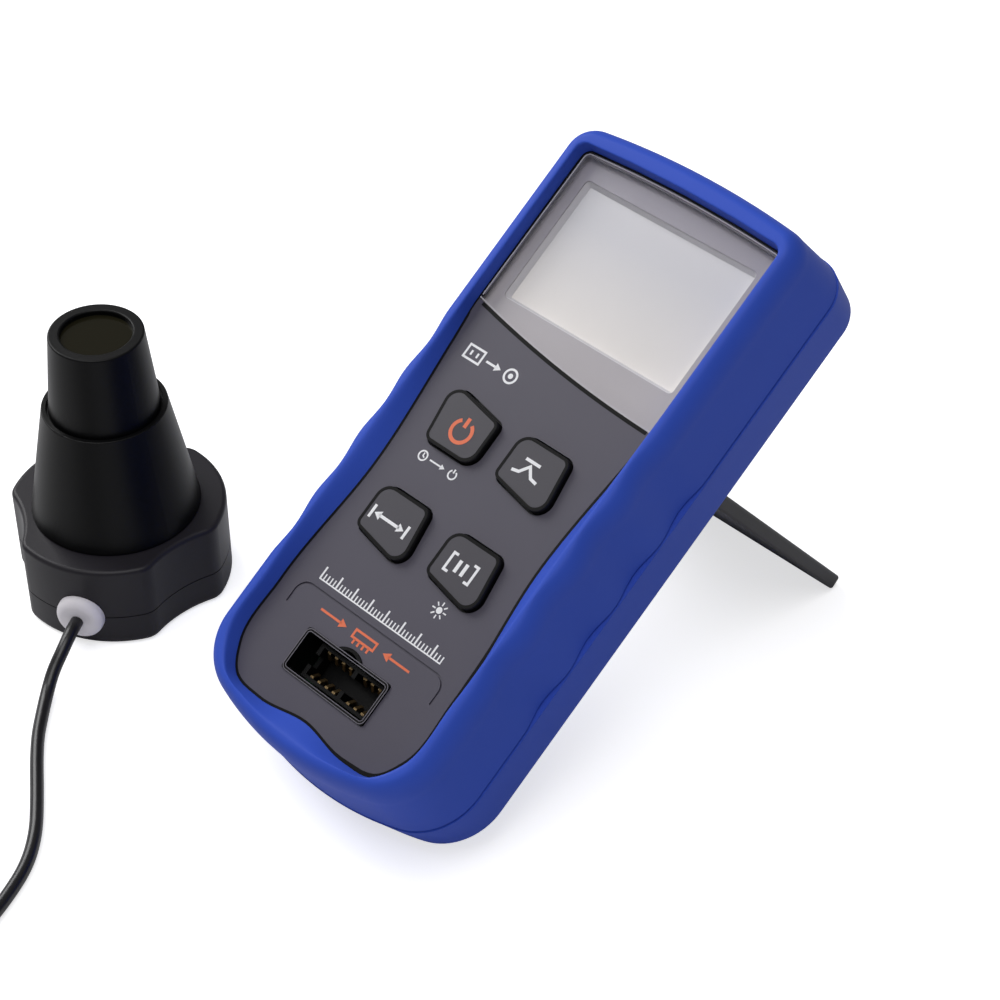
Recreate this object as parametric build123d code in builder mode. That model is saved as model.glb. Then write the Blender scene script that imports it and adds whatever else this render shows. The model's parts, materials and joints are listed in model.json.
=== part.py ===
from build123d import *
from math import ceil, cos, degrees, hypot, pi, radians, sin, tan
import os

# A hand-held luminance meter in a rubber boot, leaning on its stand, and the upright
# sensor probe whose lead plugs into the meter.
# Millimetres, +Z up. The origin is the middle of the probe's foot, on the floor.
# X runs across the meter to the right, Y away from whoever reads it.
# The meter is drawn on its own plane: x across, y towards the display end, z out of the
# front panel, from the middle of the boot's outline at the level of the panel.

# Sizes of the boot
lean_angle = 34.7
meter_x = 104.1
meter_y = 37.9
boot_width = 74.4
boot_length = 172.0
boot_depth = 35.0
rim_height = 3.8
boot_wall = 3.0
fit_gap = 0.1
boot_top_crown = 2.7
boot_foot_crown = 8.4
boot_top_corner = 8.2
boot_foot_corner = 16.5
front_draw = 0.25
front_edge_inset = 3.0
front_edge_drop = 5.0
front_flare = 1.8
back_edge_radius = 2.0
back_flare = 1.2
edge_steps = 5
crest_bevel = 0.6
parting_depth = 20.0
parting_step = 0.3
grip_count = 4
grip_pitch_share = 0.2163
grip_depth = 0.8
grip_top_share = 0.2965

# Sizes of the opening in the boot's front
side_rim = 5.0
top_rim = 6.9
opening_crown = 1.3
opening_corner = 2.5
opening_straight_share = 0.3733
crest_rise = 0.3
opening_side_shares = (
    (0.837, 0.233), (0.761, -0.173), (0.825, -0.605), (0.788, -0.820),
    (0.661, -0.894), (0.409, -0.912), (0, -0.8895),
)
crest_side_shares = (
    (0.870, 0.233), (0.866, -0.173), (0.866, -0.605), (0.823, -0.826),
    (0.677, -0.902), (0.409, -0.933), (0, -0.941),
)

# Sizes of the stand
stand_side_inset = 1.2
stand_thickness = 4.0
stand_opening = 96.0
stand_hinge_share = 0.2925
stand_edge = 0.8
stand_foot_corner = 2.5
stand_gap = 0.4
stand_stop_gap = 0.5
hinge_pin_diameter = 1.8
hinge_pin_gap = 0.05
hinge_pin_inset = 5.0
lug_spacing = 40.0
lug_width = 4.0
lug_gap = 0.3
finger_notch = 22.0
recess_corner = 2.0

# Sizes of the meter's housing
housing_depth = 27.4
housing_split = 13.0
housing_wall = 2.0
panel_wall = 2.2
housing_front_radius = 0.8
housing_back_radius = 2.5
groove_width = 0.5
groove_depth = 0.4
groove_top_share = -0.5686
groove_foot_share = -0.6453
groove_length = 50.2
groove_corner = 3.4
top_boss_inset = 6.1
foot_boss_inset_x = 11.1
foot_boss_inset_y = 11.9
boss_diameter = 5.6
back_boss_diameter = 7.0
pilot_diameter = 2.0
screw_diameter = 2.4
screw_head_diameter = 4.4
screw_head_height = 1.6
screw_bite = 6.0
screw_wall = 2.0
post_diameter = 4.4
post_inset = 6.9
upper_post_share = 0.2512
lower_post_share = -0.4884
post_screw_diameter = 1.8
post_screw_head = 3.6
post_screw_head_height = 1.2
post_screw_bite = 4.0

# Sizes of the display
lens_thickness = 2.0
lens_lap = 0.4
lens_gap = 0.15
divider_left_share = 0.3767
divider_middle_share = 0.3174
divider_right_share = 0.2942
mask_thickness = 0.3
window_side_inset = 4.3
window_top_inset = 7.6
window_foot_rise = 3.5
window_corner = 1.3
window_margin = 1.0
seat_thickness = 1.6
seat_margin = 1.2
glass_side_margin = 2.6
glass_end_margin = 2.2
glass_thickness = 2.8
diffuser_inset = 0.5
diffuser_thickness = 3.0
board_thickness = 1.6
board_edge_gap = 0.6
board_boss_gap = 0.5

# Sizes of the keys
key_width = 19.2
key_height = 17.0
key_gap = 0.5
key_rise = 1.7
key_travel = 1.0
key_edge = 0.7
key_flange = 0.7
key_flange_height = 0.9
key_play = 0.1
key_stem_diameter = 6.0
dome_diameter = 7.0
dome_height = 0.5
dome_gap = 0.1
mat_thickness = 1.2
mat_width = 48.6
mat_margin = 12.5
mat_hole = 8.6
mat_corner = 3.0
mat_collar = 11.6
mat_collar_height = 3.4
key_corner_shares = ((-0.5, 0.5), (0.37, 0.5), (0.5, -0.5), (-0.5, -0.3))
key_radius_shares = (0.26, 0.17, 0.25, 0.15)
key_place_shares = {
    "power_key": (-0.348, 0.041, -1),
    "peak_key": (0.323, 0.021, 1),
    "range_key": (-0.322, -0.305, 1),
    "hold_key": (0.331, -0.305, 1),
}

# Sizes of the socket
socket_x = -0.6
socket_y_share = -0.736
well_width = 27.0
well_height = 10.2
shroud_wall = 0.8
shroud_rise = 0.5
shroud_gap = 0.1
shroud_corner = 0.8
bump_width = 7.6
bump_height = 1.6
connector_width = 22.8
connector_height = 9.4
connector_top = 2.4
connector_shift = 1.2
cavity_width = 20.4
cavity_height = 7.6
cavity_depth = 6.2
contact_pitch = 2.54
contact_count = 8
key_position = 4
contact_width = 1.0
contact_thickness = 0.5
contact_foot = 1.4
contact_rise = 5.2
contact_bow = 1.3
rib_width = 1.2
rib_depth = 1.8
slot_width = 3.0
slot_depth = 2.5

# Sizes of the battery tray and its cells
cell_diameter = 10.5
cell_length = 44.5
cell_count = 3
cell_pitch = 11.0
cell_nub_diameter = 3.8
cell_nub_height = 1.0
cell_gap = 0.3
tray_end_room = 10.65
tray_length = 50.5
tray_side_gap = 0.6
tray_wall = 1.2
tray_top_gap = 1.4
contact_plate_thickness = 0.4
contact_plate_width = 8.4
contact_button = 0.8
spring_top_diameter = 4.6
spring_base_diameter = 7.4
spring_wall = 0.5
cover_lap = 1.5
cover_rim = 1.0
cover_gap = 0.15
cover_ear_width = 9.0
cover_ear_length = 7.0
cover_boss_diameter = 6.0
cover_boss_height = 7.0
cover_screw_head = 3.8
cover_screw_head_height = 0.9
chip_side = 10.0
small_chip_length = 8.0
small_chip_width = 5.0
chip_height = 1.2
chip_y_share = -0.2
small_chip_y_share = -0.36

# Sizes of the probe
probe_height = 80.7
lobe_radius = 29.0
waist_radius = 25.0
waist_curve = 32.0
lobe_corner = 5.5
lobe_count = 3
base_height = 25.1
base_parting = 9.8
base_wall = 2.0
base_top_edge = 1.2
base_foot_edge = 2.0
base_groove = 0.3
base_post_radius = 20.8
base_post_diameter = 5.0
base_screw_head_depth = 2.4
cone_top_drop = 22.7
cone_top_radius = 16.3
cone_foot_radius = 22.4
cone_wall = 2.2
cone_lip_depth = 1.0
cone_lip_wall = 1.2
cone_foot_groove = 0.4
cone_spigot_radius = 18.6
cone_spigot_wall = 2.2
cone_spigot_depth = 2.6
cone_edge = 0.3
spigot_gap = 0.1
nose_top_radius = 12.2
nose_foot_radius = 14.5
nose_mouth_radius = 9.2
nose_mouth_depth = 1.5
nose_bore_radius = 10.4
nose_spigot_radius = 13.2
nose_spigot_depth = 8.0
nose_edge = 0.5
filter_thickness = 2.0
filter_gap = 0.1
ring_height = 3.0
ring_inner_radius = 8.8
baffle_length = 20.0
baffle_wall = 2.0
baffle_stop_radius = 6.5
baffle_stop_thickness = 1.0
baffle_stop_count = 3
baffle_floor = 1.5
baffle_hole_radius = 1.5
diode_radius = 4.2
diode_height = 3.4
diode_window_radius = 2.6
diode_window_depth = 0.4
sensor_board_radius = 17.0
sensor_board_thickness = 1.6
sensor_post_radius = 14.0
sensor_post_diameter = 4.0
sensor_post_height = 9.5

# Sizes of the lead, its grommet, its coil and its plug
cord_diameter = 3.5
cord_exit_angle = -60.0
grommet_diameter = 12.8
grommet_rise = 2.6
grommet_edge = 2.3
grommet_neck = 8.0
grommet_flange = 1.0
grommet_flange_height = 1.5
grommet_gap = 0.1
bend_share = 0.45
floor_gap = 0.1
exit_run = 4.5
cord_route = (
    (20.5, -36.0, 8.1), (21.9, -40.5, 4.9), (24.7, -44.8, 2.4), (29.4, -50.0, 1.85),
    (37.1, -57.7, 1.85), (53.7, -70.0, 1.85), (61.8, -76.6, 1.85),
    (68.3, -84.2, 1.85), (72.8, -93.2, 1.9), (76.4, -102.4, 2.1), (79.2, -110.8, 2.65),
)
coil_x = 52.7
coil_y = -122.3
coil_radius = 26.5
coil_pitch = 4.0
coil_layer = 4.0
coil_turns_inwards = 3
tie_width = 5.0
tie_wall = 0.5
tie_gap = 0.3
tie_corner = 1.2
tail_route = (
    (79.2, -133.8, 6.65), (78.0, -145.4, 4.8), (72.8, -156.0, 4.0), (64.0, -163.6, 4.8),
    (53.2, -166.8, 6.1),
)
plug_x = 45.2
plug_y = -166.8
plug_width = 30.0
plug_height = 12.0
plug_length = 24.0
plug_corner = 3.0
plug_edge = 1.2
plug_nose_gap = 0.3
plug_nose_length = 2.6
plug_nose_corner = 1.0
relief_length = 14.0
relief_entry_diameter = 5.6
relief_foot_diameter = 8.6
relief_neck_length = 1.6
relief_collar_length = 1.6
card_width = 19.0
card_thickness = 3.6
card_reach = 5.0
card_root = 8.0
card_edge = 0.4
overrun = 1.0

# Planes and places worked out from the sizes
lean = radians(lean_angle)
boot_half_width = boot_width / 2
boot_half_length = boot_length / 2
edge_angles = [pi / 2 * step / edge_steps for step in range(edge_steps + 1)]
front_levels = [(-parting_depth, front_flare)] + [
    (rim_height - front_edge_drop * (1 - sin(angle)),
     -front_draw - front_edge_inset * (1 - cos(angle)))
    for angle in edge_angles
]
back_levels = [(-parting_depth, front_flare + parting_step)] + [
    (-boot_depth + back_edge_radius * (1 - sin(angle)),
     back_flare - back_edge_radius * (1 - cos(angle)))
    for angle in edge_angles
]
meter_z = max(
    (boot_half_length + grow) * sin(lean) - level * cos(lean) for level, grow in back_levels
)
face = Plane(
    origin=(meter_x, meter_y, meter_z), x_dir=(1, 0, 0), z_dir=(0, -sin(lean), cos(lean))
)
side = Plane(origin=face.origin, x_dir=face.y_dir, z_dir=face.x_dir)
outwards = Axis(face.origin, face.z_dir)
lengthwise = Axis(face.origin, face.y_dir)
housing_half_width = boot_half_width - boot_wall - fit_gap
housing_half_length = boot_half_length - boot_wall - fit_gap
opening_half_width = boot_half_width - side_rim
opening_top_y = boot_half_length - top_rim
divider_left_y = divider_left_share * boot_half_length
window_top_y = opening_top_y - window_top_inset
window_foot_y = divider_left_y + window_foot_rise
window_width = 2 * (opening_half_width - window_side_inset)
window_height = window_top_y - window_foot_y
display_y = (window_top_y + window_foot_y) / 2
glass_width = window_width + 2 * glass_side_margin
glass_height = window_height + 2 * glass_end_margin
socket_y = socket_y_share * boot_half_length
panel_inside = -panel_wall
mask_top = -lens_thickness
seat_top = mask_top - mask_thickness
seat_bottom = seat_top - seat_thickness
glass_bottom = seat_bottom - glass_thickness
board_top = glass_bottom - diffuser_thickness
board_bottom = board_top - board_thickness
back_inside = housing_wall - housing_depth
key_places = {
    name: (x_share * boot_half_width, y_share * boot_half_length, turn)
    for name, (x_share, y_share, turn) in key_place_shares.items()
}
boss_places = [
    (sign * (housing_half_width - inset_x), y)
    for sign in (-1, 1)
    for inset_x, y in (
        (top_boss_inset, housing_half_length - top_boss_inset),
        (foot_boss_inset_x, foot_boss_inset_y - housing_half_length),
    )
]
post_places = [
    (sign * (housing_half_width - post_inset), y_share * boot_half_length)
    for sign in (-1, 1)
    for y_share in (upper_post_share, lower_post_share)
]


# Outlines on the meter's plane
def boot_outline(grow):
    half_width = boot_half_width + grow
    half_length = boot_half_length + grow
    top_y = half_length - boot_top_crown
    foot_y = boot_foot_crown - half_length
    with BuildSketch(mode=Mode.PRIVATE) as outline:
        with BuildLine():
            ThreePointArc((-half_width, top_y), (0, half_length), (half_width, top_y))
            Line((half_width, top_y), (half_width, foot_y))
            ThreePointArc((half_width, foot_y), (0, -half_length), (-half_width, foot_y))
            Line((-half_width, foot_y), (-half_width, top_y))
        make_face()
        fillet(outline.vertices().group_by(Axis.Y)[-1], boot_top_corner + grow)
        fillet(outline.vertices().group_by(Axis.Y)[0], boot_foot_corner + grow)
    return outline.sketch


def grip_outline(grow):
    half_width = boot_half_width + grow
    half_length = boot_half_length + grow
    top_y = half_length - boot_top_crown
    foot_y = boot_foot_crown - half_length
    waves = []
    for step in range(2 * grip_count + 1):
        wave_share = grip_top_share - step * grip_pitch_share / 2
        waves.append((half_width - grip_depth * (step % 2), wave_share * boot_half_length))
    mirrored = [(-x, y) for x, y in reversed(waves)]
    with BuildSketch(mode=Mode.PRIVATE) as outline:
        with BuildLine():
            ThreePointArc((-half_width, top_y), (0, half_length), (half_width, top_y))
            Line((half_width, top_y), waves[0])
            Spline(*waves, tangents=((0, -1), (0, -1)))
            Line(waves[-1], (half_width, foot_y))
            ThreePointArc((half_width, foot_y), (0, -half_length), (-half_width, foot_y))
            Line((-half_width, foot_y), mirrored[0])
            Spline(*mirrored, tangents=((0, 1), (0, 1)))
            Line(mirrored[-1], (-half_width, top_y))
        make_face()
        fillet(outline.vertices().group_by(Axis.Y)[-1], boot_top_corner + grow)
        fillet(outline.vertices().group_by(Axis.Y)[0], boot_foot_corner + grow)
    return outline.sketch


def opening_outline(half_width, top_y, side_shares, grow):
    shoulder_y = top_y - opening_crown
    spots = [Vector(half_width, opening_straight_share * boot_half_length)] + [
        Vector(x_share * boot_half_width, y_share * boot_half_length)
        for x_share, y_share in side_shares
    ]
    right = [spots[0] + Vector(grow, 0)]
    for before, spot, after in zip(spots, spots[1:], spots[2:]):
        right.append(spot + (after - before).normalized().rotate(Axis.Z, degrees(pi / 2)) * grow)
    right.append(spots[-1] - Vector(0, grow))
    left = [Vector(-spot.X, spot.Y) for spot in reversed(right)]
    top = (
        Vector(-half_width - grow, shoulder_y + grow),
        Vector(0, top_y + grow),
        Vector(half_width + grow, shoulder_y + grow),
    )
    with BuildSketch(mode=Mode.PRIVATE) as outline:
        with BuildLine():
            ThreePointArc(*top)
            Line(top[-1], right[0])
            Spline(*right, tangents=((0, -1), (-1, 0)))
            Spline(*left, tangents=((-1, 0), (0, 1)))
            Line(left[-1], top[0])
        make_face()
        fillet(outline.vertices().group_by(Axis.Y)[-1], opening_corner + grow)
    return outline.sketch


def lens_outline(grow):
    half_width = opening_half_width + lens_lap + grow
    top_y = opening_top_y + lens_lap + grow
    left = Vector(-half_width, divider_left_y - grow)
    middle = Vector(0, divider_middle_share * boot_half_length - grow)
    right = Vector(half_width, divider_right_share * boot_half_length - grow)
    top = (
        Vector(-half_width, top_y - opening_crown),
        Vector(0, top_y),
        Vector(half_width, top_y - opening_crown),
    )
    with BuildSketch(mode=Mode.PRIVATE) as outline:
        with BuildLine():
            ThreePointArc(*top)
            Line(top[-1], right)
            ThreePointArc(right, middle, left)
            Line(left, top[0])
        make_face()
        fillet(outline.vertices().group_by(Axis.Y)[-1], opening_corner + lens_lap + grow)
    return outline.sketch


def probe_outline(grow):
    with BuildSketch(mode=Mode.PRIVATE) as outline:
        Circle(lobe_radius + grow)
        with PolarLocations(waist_radius + waist_curve, lobe_count):
            Circle(waist_curve - grow, mode=Mode.SUBTRACT)
        fillet(outline.vertices(), lobe_corner + grow)
    return outline.sketch


def key_outline(place):
    x, y, turn = place
    corners = [
        (x + turn * x_share * key_width, y + turn * y_share * key_height)
        for x_share, y_share in key_corner_shares
    ]
    with BuildSketch(mode=Mode.PRIVATE) as outline:
        with BuildLine():
            Polyline(*corners, close=True)
        make_face()
        for corner, radius_share in zip(corners, key_radius_shares):
            nearest = outline.vertices().sort_by_distance(corner)[0]
            fillet(nearest, radius_share * key_height)
    return outline.sketch


def socket_outline(grow, corner):
    bump_radius = (bump_width**2 / 4 + bump_height**2) / (2 * bump_height)
    bump_y = socket_y + well_height / 2 + bump_height - bump_radius
    with BuildSketch(mode=Mode.PRIVATE) as outline:
        with Locations((socket_x, socket_y)):
            RectangleRounded(well_width + 2 * grow, well_height + 2 * grow, corner)
        with Locations((socket_x, bump_y)):
            Circle(bump_radius + grow)
        with Locations((socket_x, socket_y - well_height / 2 - grow)):
            Rectangle(
                boot_width, boot_width, align=(Align.CENTER, Align.MAX), mode=Mode.SUBTRACT
            )
    return outline.sketch


boot_plan = boot_outline(0)
opening_plan = opening_outline(opening_half_width, opening_top_y, opening_side_shares, 0)
crest_sizes = (opening_half_width + crest_rise, opening_top_y + crest_rise, crest_side_shares)
crest_plan = opening_outline(*crest_sizes, 0)
crest_bevel_plan = opening_outline(*crest_sizes, crest_bevel)
key_holes = {name: key_outline(place) for name, place in key_places.items()}

with BuildSketch() as housing_sketch:
    add(boot_plan)
    offset(amount=-boot_wall - fit_gap)
housing_plan = housing_sketch.sketch

# Hinge of the stand, in the boot's back
stand_width = boot_width - 2 * stand_side_inset
stand_hinge_y = stand_hinge_share * boot_half_length
hinge_pin_length = stand_width - 2 * hinge_pin_inset
hinge_z = stand_thickness / 2 - boot_depth
recess_floor = stand_thickness + stand_gap - boot_depth
hinge_point = face.from_local_coords((0, stand_hinge_y, hinge_z))
folded_dir = Vector(0, -cos(lean), -sin(lean))
leg_dir = folded_dir.rotate(Axis.X, stand_opening)
leg = Plane(origin=hinge_point, x_dir=leg_dir, z_dir=(1, 0, 0))
half_thickness = stand_thickness / 2
corner_drop = (half_thickness - stand_edge) * abs(leg.y_dir.Z) + stand_edge
stand_length = stand_edge + (hinge_point.Z - corner_drop) / -leg_dir.Z
recess_top_y = stand_hinge_y + half_thickness + stand_stop_gap
recess_foot_y = stand_hinge_y - stand_length - stand_gap
print("stand length", round(stand_length, 2))

os.makedirs("parts", exist_ok=True)

# Rubber boot: both halves flare to the parting line, the front one with finger grips and
# a soft front edge. Then the cavity, the sloped rim and the stand's recess.
with BuildPart() as holster:
    for level, grow in back_levels:
        with BuildSketch(face.offset(level)):
            add(boot_outline(grow))
    loft(ruled=True)
    for level, grow in front_levels:
        with BuildSketch(face.offset(level)):
            add(grip_outline(grow))
    loft(ruled=True)
    with BuildSketch(face.offset(-housing_depth - fit_gap)):
        add(housing_plan)
        offset(amount=fit_gap)
    extrude(amount=housing_depth + fit_gap, mode=Mode.SUBTRACT)
    with BuildSketch(face):
        add(opening_plan)
    with BuildSketch(face.offset(rim_height - crest_bevel)):
        add(crest_plan)
    loft(ruled=True, mode=Mode.SUBTRACT)
    with BuildSketch(face.offset(rim_height - crest_bevel)):
        add(crest_plan)
    with BuildSketch(face.offset(rim_height)):
        add(crest_bevel_plan)
    loft(ruled=True, mode=Mode.SUBTRACT)
    with BuildSketch(face.offset(-boot_depth)):
        with Locations((0, (recess_top_y + recess_foot_y) / 2)):
            RectangleRounded(
                stand_width + 2 * stand_gap, recess_top_y - recess_foot_y, recess_corner
            )
        with Locations((0, recess_foot_y)):
            Circle(finger_notch / 2)
    extrude(amount=stand_thickness + stand_gap, mode=Mode.SUBTRACT)
    for lug_x in (-lug_spacing / 2, lug_spacing / 2):
        with BuildSketch(side.offset(lug_x - lug_width / 2)):
            with Locations((stand_hinge_y, hinge_z)):
                Circle(half_thickness)
            with Locations((stand_hinge_y, (hinge_z + recess_floor) / 2)):
                Rectangle(stand_thickness, recess_floor - hinge_z)
        extrude(amount=lug_width)
    with BuildSketch(side):
        with Locations((stand_hinge_y, hinge_z)):
            Circle(hinge_pin_diameter / 2 + hinge_pin_gap)
    extrude(amount=lug_spacing / 2 + lug_width, both=True, mode=Mode.SUBTRACT)
holster.part.label = "holster"
export_step(holster.part, "parts/holster.step")

# Kickstand: a slab with a round hinge end, notched for the boot's two lugs
with BuildPart() as tilt_stand:
    with BuildSketch(leg):
        Circle(half_thickness)
        Rectangle(stand_length, stand_thickness, align=(Align.MIN, Align.CENTER))
    extrude(amount=stand_width / 2, both=True)
    foot_face = tilt_stand.faces().sort_by(Axis(hinge_point, leg_dir))[-1]
    fillet(foot_face.edges().filter_by(Axis(hinge_point, leg.y_dir)), stand_foot_corner)
    foot_face = tilt_stand.faces().sort_by(Axis(hinge_point, leg_dir))[-1]
    fillet(foot_face.edges(), stand_edge)
    with BuildSketch(Plane(origin=hinge_point, x_dir=(1, 0, 0), z_dir=leg.y_dir)):
        for lug_x in (-lug_spacing / 2, lug_spacing / 2):
            with Locations((lug_x, 0)):
                Rectangle(lug_width + 2 * lug_gap, 2 * (stand_thickness - lug_gap))
    extrude(amount=stand_thickness, both=True, mode=Mode.SUBTRACT)
    with BuildSketch(leg):
        Circle(hinge_pin_diameter / 2 + hinge_pin_gap)
    extrude(amount=hinge_pin_length / 2 + overrun, both=True, mode=Mode.SUBTRACT)
tilt_stand.part.label = "tilt_stand"
export_step(tilt_stand.part, "parts/tilt_stand.step")

# Steel pin through the lugs and the stand
with BuildPart() as hinge_pin:
    with BuildSketch(side):
        with Locations((stand_hinge_y, hinge_z)):
            Circle(hinge_pin_diameter / 2)
    extrude(amount=hinge_pin_length / 2, both=True)
hinge_pin.part.label = "hinge_pin"
export_step(hinge_pin.part, "parts/hinge_pin.step")

# Front housing: panel with key holes, lens pocket, socket hole, groove, bosses and posts
with BuildPart() as front_housing:
    with BuildSketch(face.offset(-housing_split)):
        add(housing_plan)
    extrude(amount=housing_split)
    fillet(front_housing.faces().sort_by(outwards)[-1].edges(), housing_front_radius)
    with BuildSketch(face.offset(-housing_split)):
        add(housing_plan)
        offset(amount=-housing_wall)
    extrude(amount=housing_split - panel_wall, mode=Mode.SUBTRACT)
    with BuildSketch(face.offset(seat_bottom)):
        add(lens_outline(seat_margin))
        add(housing_plan, mode=Mode.INTERSECT)
    extrude(amount=panel_inside - seat_bottom)
    with BuildSketch(face.offset(-housing_split)):
        with Locations(*boss_places):
            Circle(boss_diameter / 2)
        add(housing_plan, mode=Mode.INTERSECT)
    extrude(amount=housing_split - panel_wall)
    with BuildSketch(face.offset(board_top)):
        with Locations(*post_places):
            Circle(post_diameter / 2)
    extrude(amount=panel_inside - board_top)
    with BuildSketch(face.offset(seat_top)):
        add(lens_outline(lens_gap))
    extrude(amount=-seat_top, mode=Mode.SUBTRACT)
    with BuildSketch(face.offset(seat_bottom - overrun)):
        with Locations((0, display_y)):
            RectangleRounded(
                window_width + 2 * window_margin, window_height + 2 * window_margin, window_corner
            )
    extrude(amount=seat_thickness + 2 * overrun, mode=Mode.SUBTRACT)
    with BuildSketch(face.offset(panel_inside - overrun)):
        for key_hole in key_holes.values():
            add(key_hole)
        add(socket_outline(shroud_wall + shroud_gap, shroud_corner))
    extrude(amount=panel_wall + 2 * overrun, mode=Mode.SUBTRACT)
    with BuildSketch(face.offset(-groove_depth)):
        with BuildLine():
            FilletPolyline(
                (-groove_length / 2, groove_foot_share * boot_half_length),
                (-groove_length / 2, groove_top_share * boot_half_length),
                (groove_length / 2, groove_top_share * boot_half_length),
                (groove_length / 2, groove_foot_share * boot_half_length),
                radius=groove_corner,
            )
            offset(amount=groove_width / 2)
        make_face()
    extrude(amount=groove_depth + overrun, mode=Mode.SUBTRACT)
    with BuildSketch(face.offset(-housing_split)):
        with Locations(*boss_places):
            Circle(pilot_diameter / 2)
    extrude(amount=screw_bite + overrun, mode=Mode.SUBTRACT)
    with BuildSketch(face.offset(board_top)):
        with Locations(*post_places):
            Circle(post_screw_diameter / 2)
    extrude(amount=post_screw_bite + overrun, mode=Mode.SUBTRACT)
front_housing.part.label = "front_housing"
export_step(front_housing.part, "parts/front_housing.step")

# Printed-window lens, its grey mask, the display glass and the light guide behind it
with BuildPart() as lens_window:
    with BuildSketch(face.offset(mask_top)):
        add(lens_outline(0))
    extrude(amount=lens_thickness)
lens_window.part.label = "lens_window"
export_step(lens_window.part, "parts/lens_window.step")

with BuildPart() as display_mask:
    with BuildSketch(face.offset(seat_top)):
        add(lens_outline(0))
        with Locations((0, display_y)):
            RectangleRounded(window_width, window_height, window_corner, mode=Mode.SUBTRACT)
    extrude(amount=mask_thickness)
display_mask.part.label = "display_mask"
export_step(display_mask.part, "parts/display_mask.step")

with BuildPart() as display_glass:
    with BuildSketch(face.offset(glass_bottom)):
        with Locations((0, display_y)):
            Rectangle(glass_width, glass_height)
    extrude(amount=glass_thickness)
display_glass.part.label = "display_glass"
export_step(display_glass.part, "parts/display_glass.step")

with BuildPart() as display_diffuser:
    with BuildSketch(face.offset(board_top)):
        with Locations((0, display_y)):
            Rectangle(glass_width - 2 * diffuser_inset, glass_height - 2 * diffuser_inset)
    extrude(amount=diffuser_thickness)
display_diffuser.part.label = "display_diffuser"
export_step(display_diffuser.part, "parts/display_diffuser.step")

# Main board on the housing's posts, notched round the corner bosses
with BuildPart() as main_board:
    with BuildSketch(face.offset(board_bottom)):
        add(housing_plan)
        offset(amount=-housing_wall - board_edge_gap)
        with Locations(*boss_places):
            Circle(boss_diameter / 2 + board_boss_gap, mode=Mode.SUBTRACT)
        with Locations(*post_places):
            Circle(post_screw_diameter / 2, mode=Mode.SUBTRACT)
    extrude(amount=board_thickness)
main_board.part.label = "main_board"
export_step(main_board.part, "parts/main_board.step")

with BuildPart() as board_chips:
    with BuildSketch(face.offset(board_bottom - chip_height)):
        with Locations((0, chip_y_share * boot_half_length)):
            Rectangle(chip_side, chip_side)
        with Locations((0, small_chip_y_share * boot_half_length)):
            Rectangle(small_chip_length, small_chip_width)
    extrude(amount=chip_height)
board_chips.part.label = "board_chips"
export_step(board_chips.part, "parts/board_chips.step")

with BuildPart() as board_screws:
    with BuildSketch(face.offset(board_bottom - post_screw_head_height)):
        with Locations(*post_places):
            Circle(post_screw_head / 2)
    extrude(amount=post_screw_head_height)
    with BuildSketch(face.offset(board_bottom)):
        with Locations(*post_places):
            Circle(post_screw_diameter / 2)
    extrude(amount=board_thickness + post_screw_bite)
board_screws.part.label = "board_screws"
export_step(board_screws.part, "parts/board_screws.step")

# Rubber key mat with a collar round each key's stem, and the metal domes under the stems
key_centres = [(x, y) for x, y, turn in key_places.values()]
mat_top_y = max(y for x, y in key_centres) + mat_margin
mat_foot_y = min(y for x, y in key_centres) - mat_margin
with BuildPart() as key_mat:
    with BuildSketch(face.offset(board_top)):
        with Locations((0, (mat_top_y + mat_foot_y) / 2)):
            RectangleRounded(mat_width, mat_top_y - mat_foot_y, mat_corner)
    extrude(amount=mat_thickness)
    with BuildSketch(face.offset(board_top)):
        with Locations(*key_centres):
            Circle(mat_collar / 2)
    extrude(amount=mat_thickness + mat_collar_height)
    with BuildSketch(face.offset(board_top)):
        with Locations(*key_centres):
            Circle(mat_hole / 2)
    extrude(amount=mat_thickness + mat_collar_height, mode=Mode.SUBTRACT)
key_mat.part.label = "key_mat"
export_step(key_mat.part, "parts/key_mat.step")

with BuildPart() as dome_contacts:
    with BuildSketch(face.offset(board_top)):
        with Locations(*key_centres):
            Circle(dome_diameter / 2)
    extrude(amount=dome_height, taper=degrees(pi / 4))
dome_contacts.part.label = "dome_contacts"
export_step(dome_contacts.part, "parts/dome_contacts.step")


# Keys: a rounded cap, a flange that the panel holds down, and a stem over the dome
def key_piece(name):
    flange_bottom = panel_inside - key_play - key_flange_height
    stem_bottom = board_top + dome_height + dome_gap + key_travel
    x, y, turn = key_places[name]
    with BuildPart(mode=Mode.PRIVATE) as key:
        with BuildSketch(face.offset(flange_bottom)):
            add(key_holes[name])
            offset(amount=-key_gap)
        extrude(amount=key_rise - flange_bottom)
        fillet(key.faces().sort_by(outwards)[-1].edges(), key_edge)
        with BuildSketch(face.offset(flange_bottom)):
            add(key_holes[name])
            offset(amount=key_flange)
        extrude(amount=key_flange_height)
        with BuildSketch(face.offset(stem_bottom)):
            with Locations((x, y)):
                Circle(key_stem_diameter / 2)
        extrude(amount=flange_bottom - stem_bottom)
    return key.part


with BuildPart() as power_key:
    add(key_piece("power_key"))
power_key.part.label = "power_key"
export_step(power_key.part, "parts/power_key.step")

with BuildPart() as peak_key:
    add(key_piece("peak_key"))
peak_key.part.label = "peak_key"
export_step(peak_key.part, "parts/peak_key.step")

with BuildPart() as range_key:
    add(key_piece("range_key"))
range_key.part.label = "range_key"
export_step(range_key.part, "parts/range_key.step")

with BuildPart() as hold_key:
    add(key_piece("hold_key"))
hold_key.part.label = "hold_key"
export_step(hold_key.part, "parts/hold_key.step")

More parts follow.
